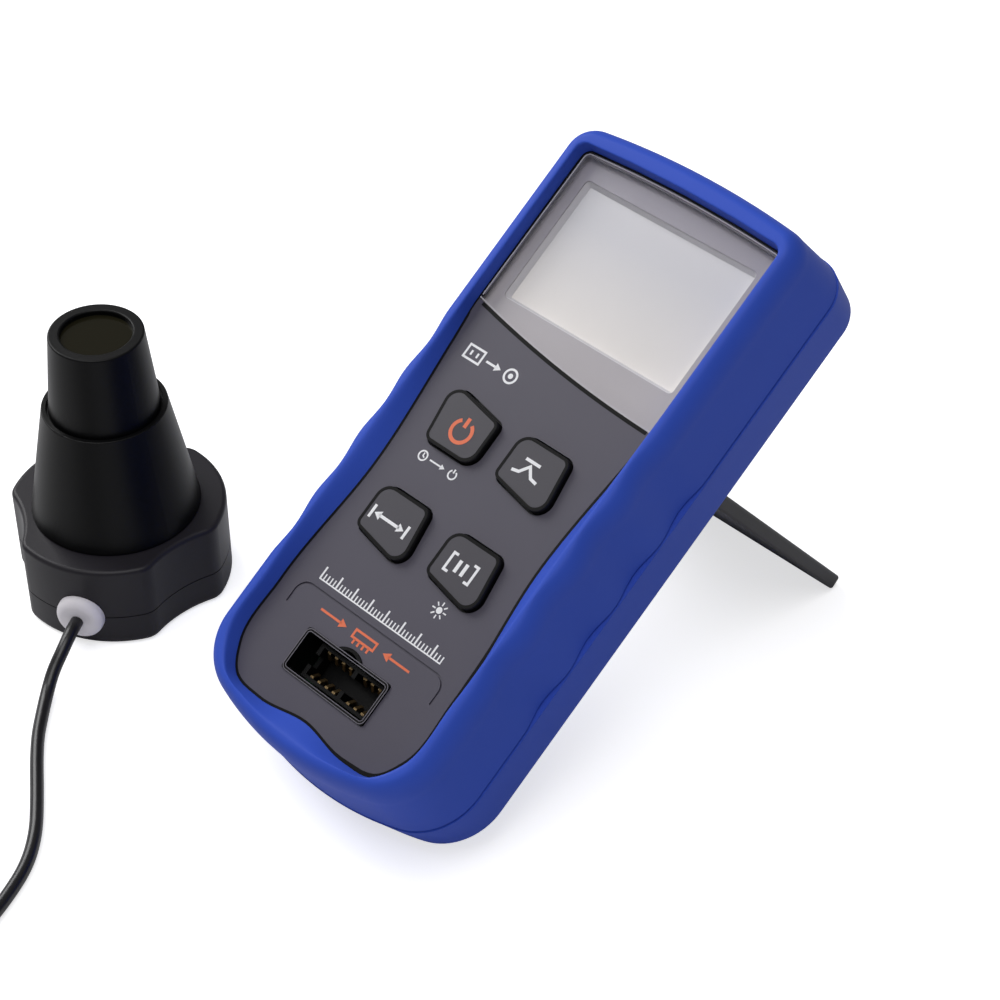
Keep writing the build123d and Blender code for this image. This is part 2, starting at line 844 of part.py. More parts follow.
# Probe socket: keyed shroud, connector block and its two rows of sprung contacts
connector_x = socket_x + connector_shift
cavity_floor = -connector_top - cavity_depth
with BuildPart() as socket_shroud:
    with BuildSketch(face.offset(board_top)):
        add(socket_outline(shroud_wall, shroud_corner))
        add(socket_outline(0, shroud_corner), mode=Mode.SUBTRACT)
    extrude(amount=shroud_rise - board_top)
socket_shroud.part.label = "socket_shroud"
export_step(socket_shroud.part, "parts/socket_shroud.step")

with BuildPart() as socket_connector:
    with BuildSketch(face.offset(board_top)):
        with Locations((connector_x, socket_y)):
            Rectangle(connector_width, connector_height)
    extrude(amount=-connector_top - board_top)
    with BuildSketch(face.offset(cavity_floor)):
        with Locations((connector_x, socket_y)):
            Rectangle(cavity_width, cavity_height)
    extrude(amount=cavity_depth, mode=Mode.SUBTRACT)
    with BuildSketch(face.offset(-connector_top - slot_depth)):
        with Locations((connector_x, socket_y)):
            Rectangle(connector_width, slot_width)
    extrude(amount=slot_depth, mode=Mode.SUBTRACT)
    with BuildSketch(face.offset(cavity_floor)):
        key_rib_x = connector_x + (key_position - (contact_count - 1) / 2) * contact_pitch
        for rib_side in (-1, 1):
            with Locations((key_rib_x, socket_y + rib_side * (cavity_height - rib_depth) / 2)):
                Rectangle(rib_width, rib_depth)
    extrude(amount=cavity_depth)
socket_connector.part.label = "socket_connector"
export_step(socket_connector.part, "parts/socket_connector.step")

wall_y = cavity_height / 2
tip_z = cavity_floor + contact_rise
bow_z = (cavity_floor + contact_foot + tip_z) / 2
with BuildPart() as socket_contacts:
    for position in range(contact_count):
        if position == key_position:
            continue
        contact_x = connector_x + (position - (contact_count - 1) / 2) * contact_pitch
        for row in (-1, 1):
            leaf = [
                (wall_y, cavity_floor),
                (wall_y, cavity_floor + contact_foot),
                (wall_y - contact_bow, bow_z),
                (wall_y, tip_z),
            ]
            leaf += [(y - contact_thickness, z) for y, z in reversed(leaf)]
            with BuildSketch(side.offset(contact_x - contact_width / 2)):
                with BuildLine():
                    Polyline(*[(socket_y + row * y, z) for y, z in leaf], close=True)
                make_face()
            extrude(amount=contact_width)
socket_contacts.part.label = "socket_contacts"
export_step(socket_contacts.part, "parts/socket_contacts.step")

# Back housing: deep shell with screw bosses, the battery tray and the seat of its cover
cell_z = back_inside + cell_gap + cell_diameter / 2
tray_y = housing_half_length - tray_end_room - tray_length / 2
tray_width = (cell_count - 1) * cell_pitch + cell_diameter + 2 * tray_side_gap
tray_top = board_bottom - tray_top_gap
tray_foot_y = tray_y - tray_length / 2
ear_y = tray_foot_y - cover_lap - cover_ear_length / 2
with BuildSketch() as cover_sketch:
    with Locations((0, tray_y)):
        Rectangle(tray_width + 2 * cover_lap, tray_length + 2 * cover_lap)
    with Locations((0, ear_y)):
        Rectangle(cover_ear_width, cover_ear_length)
cover_plan = cover_sketch.sketch

with BuildPart() as back_housing:
    with BuildSketch(face.offset(-housing_depth)):
        add(housing_plan)
    extrude(amount=housing_depth - housing_split)
    fillet(back_housing.faces().sort_by(outwards)[0].edges(), housing_back_radius)
    with BuildSketch(face.offset(back_inside)):
        add(housing_plan)
        offset(amount=-housing_wall)
    extrude(amount=-back_inside - housing_split, mode=Mode.SUBTRACT)
    with BuildSketch(face.offset(back_inside)):
        with Locations(*boss_places):
            Circle(back_boss_diameter / 2)
        add(housing_plan, mode=Mode.INTERSECT)
    extrude(amount=-back_inside - housing_split)
    with BuildSketch(face.offset(back_inside)):
        with Locations((0, tray_y)):
            Rectangle(tray_width + 2 * tray_wall, tray_length + 2 * tray_wall)
    extrude(amount=tray_top - back_inside)
    with BuildSketch(face.offset(back_inside)):
        with Locations((0, ear_y)):
            Circle(cover_boss_diameter / 2)
    extrude(amount=cover_boss_height)
    with BuildSketch(face.offset(-housing_depth - overrun)):
        with Locations((0, tray_y)):
            Rectangle(tray_width, tray_length)
    extrude(amount=tray_top - tray_wall + housing_depth + overrun, mode=Mode.SUBTRACT)
    with BuildSketch(face.offset(-housing_depth - overrun)):
        add(cover_plan)
    extrude(amount=cover_rim + overrun, mode=Mode.SUBTRACT)
    with BuildSketch(face.offset(-housing_depth)):
        with Locations((0, ear_y)):
            Circle(pilot_diameter / 2)
    extrude(amount=screw_bite, mode=Mode.SUBTRACT)
    with BuildSketch(face.offset(-housing_depth - overrun)):
        with Locations(*boss_places):
            Circle(screw_head_diameter / 2 + fit_gap)
    extrude(amount=housing_depth + overrun - housing_split - screw_wall, mode=Mode.SUBTRACT)
    with BuildSketch(face.offset(-housing_depth)):
        with Locations(*boss_places):
            Circle(screw_diameter / 2)
    extrude(amount=housing_depth, mode=Mode.SUBTRACT)
back_housing.part.label = "back_housing"
export_step(back_housing.part, "parts/back_housing.step")

with BuildPart() as housing_screws:
    with BuildSketch(face.offset(-housing_split - screw_wall - screw_head_height)):
        with Locations(*boss_places):
            Circle(screw_head_diameter / 2)
    extrude(amount=screw_head_height)
    with BuildSketch(face.offset(-housing_split - screw_wall)):
        with Locations(*boss_places):
            Circle(pilot_diameter / 2)
    extrude(amount=screw_wall + screw_bite)
housing_screws.part.label = "housing_screws"
export_step(housing_screws.part, "parts/housing_screws.step")

# Battery cover with its countersunk screw, three cells and their contacts
with BuildPart() as battery_cover:
    with BuildSketch(face.offset(-housing_depth)):
        add(cover_plan)
        offset(amount=-cover_gap, kind=Kind.INTERSECTION)
    extrude(amount=cover_rim)
    with BuildSketch(face.offset(cover_rim - housing_depth)):
        with Locations((0, tray_y)):
            Rectangle(tray_width - 2 * cover_gap, tray_length - 2 * cover_gap)
    extrude(amount=housing_wall - cover_rim)
    with BuildSketch(face.offset(-housing_depth)):
        with Locations((0, ear_y)):
            Circle(cover_screw_head / 2)
    extrude(amount=cover_screw_head_height, taper=degrees(pi / 4), mode=Mode.SUBTRACT)
    with BuildSketch(face.offset(-housing_depth)):
        with Locations((0, ear_y)):
            Circle(pilot_diameter / 2)
    extrude(amount=cover_rim, mode=Mode.SUBTRACT)
battery_cover.part.label = "battery_cover"
export_step(battery_cover.part, "parts/battery_cover.step")

with BuildPart() as battery_cover_screw:
    with BuildSketch(face.offset(-housing_depth)):
        with Locations((0, ear_y)):
            Circle(cover_screw_head / 2)
    extrude(amount=cover_screw_head_height, taper=degrees(pi / 4))
    with BuildSketch(face.offset(-housing_depth)):
        with Locations((0, ear_y)):
            Circle(pilot_diameter / 2)
    extrude(amount=screw_bite)
battery_cover_screw.part.label = "battery_cover_screw"
export_step(battery_cover_screw.part, "parts/battery_cover_screw.step")

nub_reach = tray_length / 2 - contact_plate_thickness - contact_button
cell_lanes = [
    ((lane - (cell_count - 1) / 2) * cell_pitch, 1 if lane % 2 == 0 else -1)
    for lane in range(cell_count)
]


def lane_plane(lane_x, way, reach):
    return Plane(
        origin=face.from_local_coords((lane_x, tray_y + way * reach, cell_z)),
        x_dir=face.x_dir,
        z_dir=face.y_dir * -way,
    )


with BuildPart() as battery_cells:
    for lane_x, way in cell_lanes:
        with BuildSketch(lane_plane(lane_x, way, nub_reach - cell_nub_height)):
            Circle(cell_diameter / 2)
        extrude(amount=cell_length - cell_nub_height)
        with BuildSketch(lane_plane(lane_x, way, nub_reach)):
            Circle(cell_nub_diameter / 2)
        extrude(amount=cell_nub_height)
battery_cells.part.label = "battery_cells"
export_step(battery_cells.part, "parts/battery_cells.step")

spring_length = tray_length / 2 - contact_plate_thickness - (cell_length - nub_reach)
spring_slope = (spring_base_diameter - spring_top_diameter) / 2 / spring_length
with BuildPart() as battery_contacts:
    for lane_x, way in cell_lanes:
        for end in (-1, 1):
            with BuildSketch(lane_plane(lane_x, end, tray_length / 2)):
                Rectangle(contact_plate_width, contact_plate_width)
            extrude(amount=contact_plate_thickness)
        with BuildSketch(lane_plane(lane_x, way, nub_reach + contact_button)):
            Circle(cell_nub_diameter / 2)
        extrude(amount=contact_button)
        with BuildSketch(lane_plane(lane_x, -way, tray_length / 2 - contact_plate_thickness)):
            Circle(spring_base_diameter / 2)
            Circle(spring_base_diameter / 2 - spring_wall, mode=Mode.SUBTRACT)
        extrude(amount=spring_length)
battery_contacts.part.label = "battery_contacts"
export_step(battery_contacts.part, "parts/battery_contacts.step")

# Probe base: three-lobed plate and housing, screwed together at the waists
cone_top_z = probe_height - cone_top_drop
nose_foot_z = cone_top_z - cone_lip_depth
mouth_z = probe_height - nose_mouth_depth
filter_z = mouth_z - filter_thickness
ring_z = filter_z - ring_height
baffle_z = ring_z - baffle_length
exit_dir = Vector(cos(radians(cord_exit_angle)), sin(radians(cord_exit_angle)), 0)
exit_plane = Plane(origin=(0, 0, base_parting), x_dir=(0, 0, 1), z_dir=exit_dir)
with BuildPart() as probe_base_plate:
    with BuildSketch():
        add(probe_outline(0))
    extrude(amount=base_parting - base_groove)
    fillet(probe_base_plate.faces().sort_by(Axis.Z)[0].edges(), base_foot_edge)
    with BuildSketch(Plane.XY.offset(base_parting - base_groove)):
        add(probe_outline(-base_groove))
    extrude(amount=base_groove)
    with BuildSketch(Plane.XY.offset(base_wall)):
        add(probe_outline(-base_wall))
    extrude(amount=base_parting - base_wall, mode=Mode.SUBTRACT)
    with BuildSketch(Plane.XY.offset(base_wall)):
        with PolarLocations(base_post_radius, lobe_count):
            Circle(base_post_diameter / 2)
    extrude(amount=base_parting - base_wall)
    with BuildSketch(Plane.XY.offset(base_wall)):
        with PolarLocations(sensor_post_radius, lobe_count):
            Circle(sensor_post_diameter / 2)
            Circle(post_screw_diameter / 2, mode=Mode.SUBTRACT)
    extrude(amount=sensor_post_height)
    with BuildSketch():
        with PolarLocations(base_post_radius, lobe_count):
            Circle(screw_head_diameter / 2 + fit_gap)
    extrude(amount=base_screw_head_depth, mode=Mode.SUBTRACT)
    with BuildSketch():
        with PolarLocations(base_post_radius, lobe_count):
            Circle(screw_diameter / 2)
    extrude(amount=base_parting, mode=Mode.SUBTRACT)
    with BuildSketch(exit_plane):
        Circle(grommet_neck / 2 + grommet_gap)
    extrude(amount=lobe_radius + overrun, mode=Mode.SUBTRACT)
probe_base_plate.part.label = "probe_base_plate"
export_step(probe_base_plate.part, "parts/probe_base_plate.step")

with BuildPart() as probe_housing:
    with BuildSketch(Plane.XY.offset(base_parting)):
        add(probe_outline(0))
    extrude(amount=base_height - base_parting)
    fillet(probe_housing.faces().sort_by(Axis.Z)[-1].edges(), base_top_edge)
    with BuildSketch(Plane.XY.offset(base_parting)):
        add(probe_outline(-base_wall))
    extrude(amount=base_height - base_parting - base_wall, mode=Mode.SUBTRACT)
    with BuildSketch(Plane.XY.offset(base_parting)):
        with PolarLocations(base_post_radius, lobe_count):
            Circle(base_post_diameter / 2)
    extrude(amount=base_height - base_parting - base_wall)
    with BuildSketch(Plane.XY.offset(base_parting)):
        with PolarLocations(base_post_radius, lobe_count):
            Circle(pilot_diameter / 2)
    extrude(amount=screw_bite, mode=Mode.SUBTRACT)
    with BuildSketch(Plane.XY.offset(base_height - cone_spigot_depth - spigot_gap)):
        Circle(cone_spigot_radius + spigot_gap)
    extrude(amount=cone_spigot_depth + spigot_gap, mode=Mode.SUBTRACT)
    with BuildSketch(exit_plane):
        Circle(grommet_neck / 2 + grommet_gap)
    extrude(amount=lobe_radius + overrun, mode=Mode.SUBTRACT)
probe_housing.part.label = "probe_housing"
export_step(probe_housing.part, "parts/probe_housing.step")

with BuildPart() as probe_base_screws:
    with BuildSketch(Plane.XY.offset(base_screw_head_depth - screw_head_height)):
        with PolarLocations(base_post_radius, lobe_count):
            Circle(screw_head_diameter / 2)
    extrude(amount=screw_head_height)
    with BuildSketch(Plane.XY.offset(base_screw_head_depth)):
        with PolarLocations(base_post_radius, lobe_count):
            Circle(pilot_diameter / 2)
    extrude(amount=base_parting - base_screw_head_depth + screw_bite)
probe_base_screws.part.label = "probe_base_screws"
export_step(probe_base_screws.part, "parts/probe_base_screws.step")

# Tapered lower barrel, plugged into the housing, with a thick collar for the nose
bore_foot_z = nose_foot_z - nose_spigot_depth - cone_lip_depth


def cone_radius_at(height):
    slope = (cone_foot_radius - cone_top_radius) / (cone_top_z - base_height)
    return cone_foot_radius - slope * (height - base_height)


with BuildPart() as lower_cone:
    with BuildSketch(Plane.XZ):
        with BuildLine():
            Polyline(
                (cone_spigot_radius - cone_spigot_wall, base_height - cone_spigot_depth),
                (cone_spigot_radius, base_height - cone_spigot_depth),
                (cone_spigot_radius, base_height),
                (cone_foot_radius - cone_foot_groove, base_height),
                (cone_foot_radius - cone_foot_groove, base_height + cone_foot_groove),
                (cone_radius_at(base_height + cone_foot_groove), base_height + cone_foot_groove),
                (cone_top_radius, cone_top_z),
                (cone_top_radius - cone_lip_wall, cone_top_z),
                (cone_top_radius - cone_lip_wall, nose_foot_z),
                (nose_spigot_radius + spigot_gap, nose_foot_z),
                (nose_spigot_radius + spigot_gap, bore_foot_z),
                (cone_radius_at(bore_foot_z) - cone_wall, bore_foot_z),
                (cone_radius_at(base_height) - cone_wall, base_height + cone_wall),
                (cone_spigot_radius - cone_spigot_wall, base_height + cone_wall),
                close=True,
            )
        make_face()
    revolve(axis=Axis.Z)
    top_rim = lower_cone.faces().sort_by(Axis.Z)[-1].outer_wire().edges()
    fillet(top_rim, cone_edge)
lower_cone.part.label = "lower_cone"
export_step(lower_cone.part, "parts/lower_cone.step")

# Nose barrel with the lens seat in its mouth
with BuildPart() as nose_barrel:
    with BuildSketch(Plane.XZ):
        with BuildLine():
            Polyline(
                (nose_bore_radius, nose_foot_z - nose_spigot_depth),
                (nose_spigot_radius, nose_foot_z - nose_spigot_depth),
                (nose_spigot_radius, nose_foot_z),
                (nose_foot_radius, nose_foot_z),
                (nose_top_radius, probe_height),
                (nose_mouth_radius, probe_height),
                (nose_mouth_radius, mouth_z),
                (nose_bore_radius, mouth_z),
                close=True,
            )
        make_face()
    revolve(axis=Axis.Z)
    fillet(nose_barrel.faces().sort_by(Axis.Z)[-1].edges(), nose_edge)
nose_barrel.part.label = "nose_barrel"
export_step(nose_barrel.part, "parts/nose_barrel.step")

# Inside the nose: dark filter, its ring, the stepped baffle and the photodiode
with BuildPart() as filter_glass:
    with BuildSketch(Plane.XY.offset(filter_z)):
        Circle(nose_bore_radius - filter_gap)
    extrude(amount=filter_thickness)
filter_glass.part.label = "filter_glass"
export_step(filter_glass.part, "parts/filter_glass.step")

with BuildPart() as glass_ring:
    with BuildSketch(Plane.XY.offset(ring_z)):
        Circle(nose_bore_radius)
        Circle(ring_inner_radius, mode=Mode.SUBTRACT)
    extrude(amount=ring_height)
glass_ring.part.label = "glass_ring"
export_step(glass_ring.part, "parts/glass_ring.step")

with BuildPart() as light_baffle:
    with BuildSketch(Plane.XY.offset(baffle_z)):
        Circle(nose_bore_radius)
    extrude(amount=baffle_length)
    with BuildSketch(Plane.XY.offset(baffle_z + baffle_floor)):
        Circle(nose_bore_radius - baffle_wall)
    extrude(amount=baffle_length, mode=Mode.SUBTRACT)
    stop_pitch = (baffle_length - diode_height - baffle_floor) / baffle_stop_count
    for stop in range(baffle_stop_count):
        with BuildSketch(Plane.XY.offset(ring_z - stop * stop_pitch - baffle_stop_thickness)):
            Circle(nose_bore_radius)
            Circle(baffle_stop_radius, mode=Mode.SUBTRACT)
        extrude(amount=baffle_stop_thickness)
    with BuildSketch(Plane.XY.offset(baffle_z)):
        Circle(baffle_hole_radius)
    extrude(amount=baffle_floor, mode=Mode.SUBTRACT)
light_baffle.part.label = "light_baffle"
export_step(light_baffle.part, "parts/light_baffle.step")

with BuildPart() as photodiode:
    with BuildSketch(Plane.XY.offset(baffle_z + baffle_floor)):
        Circle(diode_radius)
    extrude(amount=diode_height)
    with BuildSketch(Plane.XY.offset(baffle_z + baffle_floor + diode_height)):
        Circle(diode_window_radius)
    extrude(amount=-diode_window_depth, mode=Mode.SUBTRACT)
photodiode.part.label = "photodiode"
export_step(photodiode.part, "parts/photodiode.step")

# Amplifier board on the base plate's posts
sensor_board_z = base_wall + sensor_post_height
with BuildPart() as sensor_board:
    with BuildSketch(Plane.XY.offset(sensor_board_z)):
        Circle(sensor_board_radius)
        with PolarLocations(sensor_post_radius, lobe_count):
            Circle(post_screw_diameter / 2, mode=Mode.SUBTRACT)
    extrude(amount=sensor_board_thickness)
sensor_board.part.label = "sensor_board"
export_step(sensor_board.part, "parts/sensor_board.step")

with BuildPart() as sensor_board_screws:
    with BuildSketch(Plane.XY.offset(sensor_board_z + sensor_board_thickness)):
        with PolarLocations(sensor_post_radius, lobe_count):
            Circle(post_screw_head / 2)
    extrude(amount=post_screw_head_height)
    with BuildSketch(Plane.XY.offset(sensor_board_z - post_screw_bite)):
        with PolarLocations(sensor_post_radius, lobe_count):
            Circle(post_screw_diameter / 2)
    extrude(amount=post_screw_bite + sensor_board_thickness)
sensor_board_screws.part.label = "sensor_board_screws"
export_step(sensor_board_screws.part, "parts/sensor_board_screws.step")

# Pale grommet in the wall of the probe, across the parting line
grommet_radius = grommet_diameter / 2
flange_radius = grommet_neck / 2 + grommet_flange
inner_radius = lobe_radius - base_wall
flange_reach = (inner_radius**2 - flange_radius**2) ** 0.5
grommet_face = lobe_radius + grommet_rise
with BuildPart() as cord_grommet:
    with BuildSketch(exit_plane.offset(inner_radius)):
        Circle(grommet_radius)
    extrude(amount=grommet_face - inner_radius)
    outer_rim = cord_grommet.faces().sort_by(Axis((0, 0, 0), exit_dir))[-1].edges()
    fillet(outer_rim, grommet_edge)
    with BuildSketch():
        add(probe_outline(0))
    extrude(amount=base_height, mode=Mode.SUBTRACT)
    with BuildSketch(exit_plane.offset(flange_reach - grommet_flange_height)):
        Circle(flange_radius)
    extrude(amount=grommet_flange_height)
    with BuildSketch(exit_plane.offset(flange_reach)):
        Circle(grommet_neck / 2)
    extrude(amount=lobe_radius + base_groove - flange_reach)
cord_grommet.part.label = "cord_grommet"
export_step(cord_grommet.part, "parts/cord_grommet.step")


# Lead: straight runs joined by arcs as large as the runs allow
def bend_radii(route):
    radii = []
    for before, corner, after in zip(route, route[1:], route[2:]):
        turn = radians((corner - before).get_angle(after - corner))
        shorter = min((corner - before).length, (after - corner).length)
        radii.append(bend_share * shorter / tan(turn / 2))
    return radii


cord_radius = cord_diameter / 2
coil_z = floor_gap + tie_wall + tie_gap + cord_radius
coil_start = Vector(coil_x + coil_radius, coil_y, coil_z)
straight_end = Vector(0, cord_diameter, 0)
cord_start = exit_plane.from_local_coords((0, 0, grommet_face))
cord_points = [cord_start, cord_start + exit_dir * exit_run]
cord_points += [Vector(*spot) for spot in cord_route] + [coil_start + straight_end]
cord_radii = bend_radii(cord_points)
print("lead radii", [round(radius, 1) for radius in cord_radii])
with BuildPart() as sensor_cord:
    with BuildLine() as cord_line:
        FilletPolyline(*cord_points, radius=cord_radii)
    with BuildSketch(Plane(origin=cord_line.line @ 0, z_dir=cord_line.line % 0)):
        Circle(cord_radius)
    sweep()
sensor_cord.part.label = "sensor_cord"
export_step(sensor_cord.part, "parts/sensor_cord.step")

# Coil of the spare length: half turns that spiral in, climb a layer and spiral out again
turn_radii = [coil_radius - step * coil_pitch / 2 for step in range(2 * coil_turns_inwards)]
turn_rises = [0] * len(turn_radii) + [coil_layer] + [0] * (len(turn_radii) - 1)
turn_radii = turn_radii + [coil_radius - coil_turns_inwards * coil_pitch] + turn_radii[:0:-1]
with BuildPart() as cord_coil:
    with BuildLine() as coil_line:
        Line(coil_start + straight_end, coil_start)
        spot = coil_start
        way = -1
        for turn_radius, rise in zip(turn_radii, turn_rises):
            reach = hypot(turn_radius, rise / 2)
            middle = spot + Vector(way * turn_radius, way * reach, rise / 2)
            landing = spot + Vector(2 * way * turn_radius, 0, rise)
            ThreePointArc(spot, middle, landing)
            spot = landing
            way = -way
        coil_end = spot + Vector(0, way * cord_diameter, 0)
        Line(spot, coil_end)
    with BuildSketch(Plane(origin=coil_line.line @ 0, z_dir=coil_line.line % 0)):
        Circle(cord_radius)
    sweep()
cord_coil.part.label = "cord_coil"
export_step(cord_coil.part, "parts/cord_coil.step")

samples_per_turn = 60
sample_count = samples_per_turn * len(turn_radii) // 2
coil_path = coil_line.wires()[0]
sample_step = coil_path.length / sample_count
coil_spots = [coil_path @ (number / sample_count) for number in range(sample_count + 1)]
skip = ceil(pi * coil_pitch / sample_step)
least_gap = min(
    (one - other).length - cord_diameter
    for number, one in enumerate(coil_spots)
    for other in coil_spots[number + skip:]
)
print("least gap in the coil", round(least_gap, 2))

# Strap round the coil
tie_out_x = coil_x - coil_radius
tie_room = cord_radius + tie_gap
tie_length = coil_turns_inwards * coil_pitch + 2 * tie_room
tie_height = coil_layer + 2 * tie_room
with BuildPart() as coil_tie:
    with BuildSketch(Plane.XZ.offset(-coil_y - tie_width / 2)):
        tie_middle = (tie_out_x + tie_length / 2 - tie_room, coil_z + coil_layer / 2)
        with Locations(tie_middle):
            RectangleRounded(
                tie_length + 2 * tie_wall, tie_height + 2 * tie_wall, tie_corner + tie_wall
            )
            RectangleRounded(tie_length, tie_height, tie_corner, mode=Mode.SUBTRACT)
    extrude(amount=tie_width)
coil_tie.part.label = "coil_tie"
export_step(coil_tie.part, "parts/coil_tie.step")

# End of the lead, from the coil to the plug that lies beside it
plug_z = plug_height / 2 + floor_gap
tail_points = [coil_end] + [Vector(*spot) for spot in tail_route]
tail_points.append(Vector(plug_x, plug_y, plug_z))
tail_radii = bend_radii(tail_points)
print("tail radii", [round(radius, 1) for radius in tail_radii])
with BuildPart() as cord_tail:
    with BuildLine() as tail_line:
        FilletPolyline(*tail_points, radius=tail_radii)
    with BuildSketch(Plane(origin=tail_line.line @ 0, z_dir=tail_line.line % 0)):
        Circle(cord_radius)
    sweep()
cord_tail.part.label = "cord_tail"
export_step(cord_tail.part, "parts/cord_tail.step")
for run, solid in ((cord_line, sensor_cord), (coil_line, cord_coil), (tail_line, cord_tail)):
    section = pi * cord_radius**2
    length = run.wires()[0].length
    print("length", round(length, 1), "volume share", round(solid.part.volume / length / section, 4))

# Plug: tapered relief, two half shells and the keyed tongue that enters the socket
plug_axis = Plane(origin=(plug_x, plug_y, plug_z), x_dir=(0, -1, 0), z_dir=(-1, 0, 0))
shell_root = plug_axis.offset(relief_length)
with BuildPart() as plug_relief:
    with BuildSketch(plug_axis):
        Circle(relief_entry_diameter / 2)
    with BuildSketch(shell_root):
        Circle(relief_foot_diameter / 2)
    loft()
    with BuildSketch(shell_root):
        Circle(relief_entry_diameter / 2)
    extrude(amount=relief_neck_length + relief_collar_length)
    with BuildSketch(shell_root.offset(relief_neck_length)):
        Circle(relief_foot_diameter / 2)
    extrude(amount=relief_collar_length)
plug_relief.part.label = "plug_relief"
export_step(plug_relief.part, "parts/plug_relief.step")

tongue_root = shell_root.offset(plug_length - card_root)
with BuildPart() as plug_tongue:
    with BuildSketch(tongue_root):
        Rectangle(card_width, card_thickness)
    extrude(amount=card_root + plug_nose_length + card_reach)
    tip_edges = plug_tongue.faces().sort_by(Axis.X)[0].edges().filter_by(Axis.Y)
    chamfer(tip_edges, card_edge)
    with BuildSketch(shell_root.offset(plug_length + plug_nose_length)):
        with Locations((socket_x + connector_shift - key_rib_x, 0)):
            Rectangle(rib_width + 2 * plug_nose_gap, card_thickness)
    extrude(amount=card_reach, mode=Mode.SUBTRACT)
plug_tongue.part.label = "plug_tongue"
export_step(plug_tongue.part, "parts/plug_tongue.step")


def plug_half(below):
    keep = Align.MAX if below else Align.MIN
    with BuildPart(mode=Mode.PRIVATE) as half:
        with BuildSketch(shell_root):
            RectangleRounded(plug_width, plug_height, plug_corner)
        extrude(amount=plug_length)
        fillet(half.faces().sort_by(Axis.X)[-1].edges(), plug_edge)
        fillet(half.faces().sort_by(Axis.X)[0].edges(), plug_edge)
        with BuildSketch(shell_root.offset(plug_length)):
            RectangleRounded(
                well_width - 2 * plug_nose_gap, well_height - 2 * plug_nose_gap, plug_nose_corner
            )
        extrude(amount=plug_nose_length)
        with BuildSketch(tongue_root):
            Rectangle(card_width, card_thickness)
        extrude(amount=card_root + plug_nose_length, mode=Mode.SUBTRACT)
        with BuildSketch(shell_root):
            Circle(relief_entry_diameter / 2)
        extrude(amount=relief_neck_length, mode=Mode.SUBTRACT)
        with BuildSketch(shell_root.offset(relief_neck_length)):
            Circle(relief_foot_diameter / 2)
        extrude(amount=relief_collar_length, mode=Mode.SUBTRACT)
        with BuildSketch(shell_root):
            Rectangle(plug_width, plug_height, align=(Align.CENTER, keep))
        extrude(amount=plug_length + plug_nose_length, mode=Mode.INTERSECT)
    return half.part


with BuildPart() as plug_shell_top:
    add(plug_half(False))
plug_shell_top.part.label = "plug_shell_top"
export_step(plug_shell_top.part, "parts/plug_shell_top.step")

with BuildPart() as plug_shell_bottom:
    add(plug_half(True))
plug_shell_bottom.part.label = "plug_shell_bottom"
export_step(plug_shell_bottom.part, "parts/plug_shell_bottom.step")
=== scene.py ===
import json
from math import asin, cos, pi, radians, sin, sqrt, tan

import bpy
from mathutils import Matrix, Vector, geometry


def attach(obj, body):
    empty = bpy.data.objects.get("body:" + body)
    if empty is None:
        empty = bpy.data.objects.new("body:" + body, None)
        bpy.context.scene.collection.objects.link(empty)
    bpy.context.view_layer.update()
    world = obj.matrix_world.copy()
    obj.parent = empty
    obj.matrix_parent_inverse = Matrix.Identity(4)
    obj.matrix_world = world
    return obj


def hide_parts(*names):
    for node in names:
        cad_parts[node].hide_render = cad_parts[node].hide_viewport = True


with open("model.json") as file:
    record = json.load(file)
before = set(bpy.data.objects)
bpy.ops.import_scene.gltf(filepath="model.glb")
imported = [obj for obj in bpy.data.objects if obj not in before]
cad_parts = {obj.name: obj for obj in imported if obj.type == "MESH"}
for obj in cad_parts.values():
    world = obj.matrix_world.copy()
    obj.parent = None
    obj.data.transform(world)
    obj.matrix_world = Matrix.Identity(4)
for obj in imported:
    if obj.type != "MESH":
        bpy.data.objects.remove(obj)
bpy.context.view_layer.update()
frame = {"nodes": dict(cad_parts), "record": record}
nodes = frame["nodes"]
mm = 0.001


def deselectAll():
    bpy.ops.object.select_all(action="DESELECT")


def selectOnly(piece):
    deselectAll()
    piece.select_set(True)
    bpy.context.view_layer.objects.active = piece


# camera at the photograph's viewing angle
cameraSet = {
    "place": (0.45004, -0.30210, 0.47899), "turn": (49.564, 0, 45.326), "lens": 95.06, "sensor": 36,
}
deselectAll()
bpy.ops.object.camera_add(
    location=cameraSet["place"], rotation=[radians(angle) for angle in cameraSet["turn"]]
)
camera = bpy.context.object
camera.data.lens = cameraSet["lens"]
camera.data.sensor_width = cameraSet["sensor"]
bpy.context.scene.camera = camera
bpy.context.scene.view_settings.view_transform = "Standard"
print("camera done")

# lead of the probe: its way out, its route, the tied coil and the end beside the plug
leadSet = {
    "diameter": 0.0035, "length": 0.955,  # in metres, the rest in millimetres
    "exit": (15.8, -27.3664, 9.8), "heading": (0.5, -0.8660, 0), "exitRun": 4.5,
    "route": (
        (20.5, -36.0, 8.1), (21.9, -40.5, 4.9), (24.7, -44.8, 2.4), (29.4, -50.0, 1.85),
        (37.1, -57.7, 1.85), (53.7, -70.0, 1.85), (61.8, -76.6, 1.85),
        (68.3, -84.2, 1.85), (72.8, -93.2, 1.9), (76.4, -102.4, 2.1), (79.2, -110.8, 2.65),
    ),
    "coil": {
        "middle": (52.7, -122.3), "radius": 26.5, "foot": 2.65, "pitch": 4.0, "layer": 4.0,
        "turnsInwards": 3, "pointsPerHalfTurn": 8,
    },
    "tail": (
        (79.2, -133.8, 6.65), (78.0, -145.4, 4.8), (72.8, -156.0, 4.0), (64.0, -163.6, 4.8),
        (53.2, -166.8, 6.1), (45.2, -166.8, 6.1),
    ),
    "stepsAlong": 8, "stepsRound": 4,
}


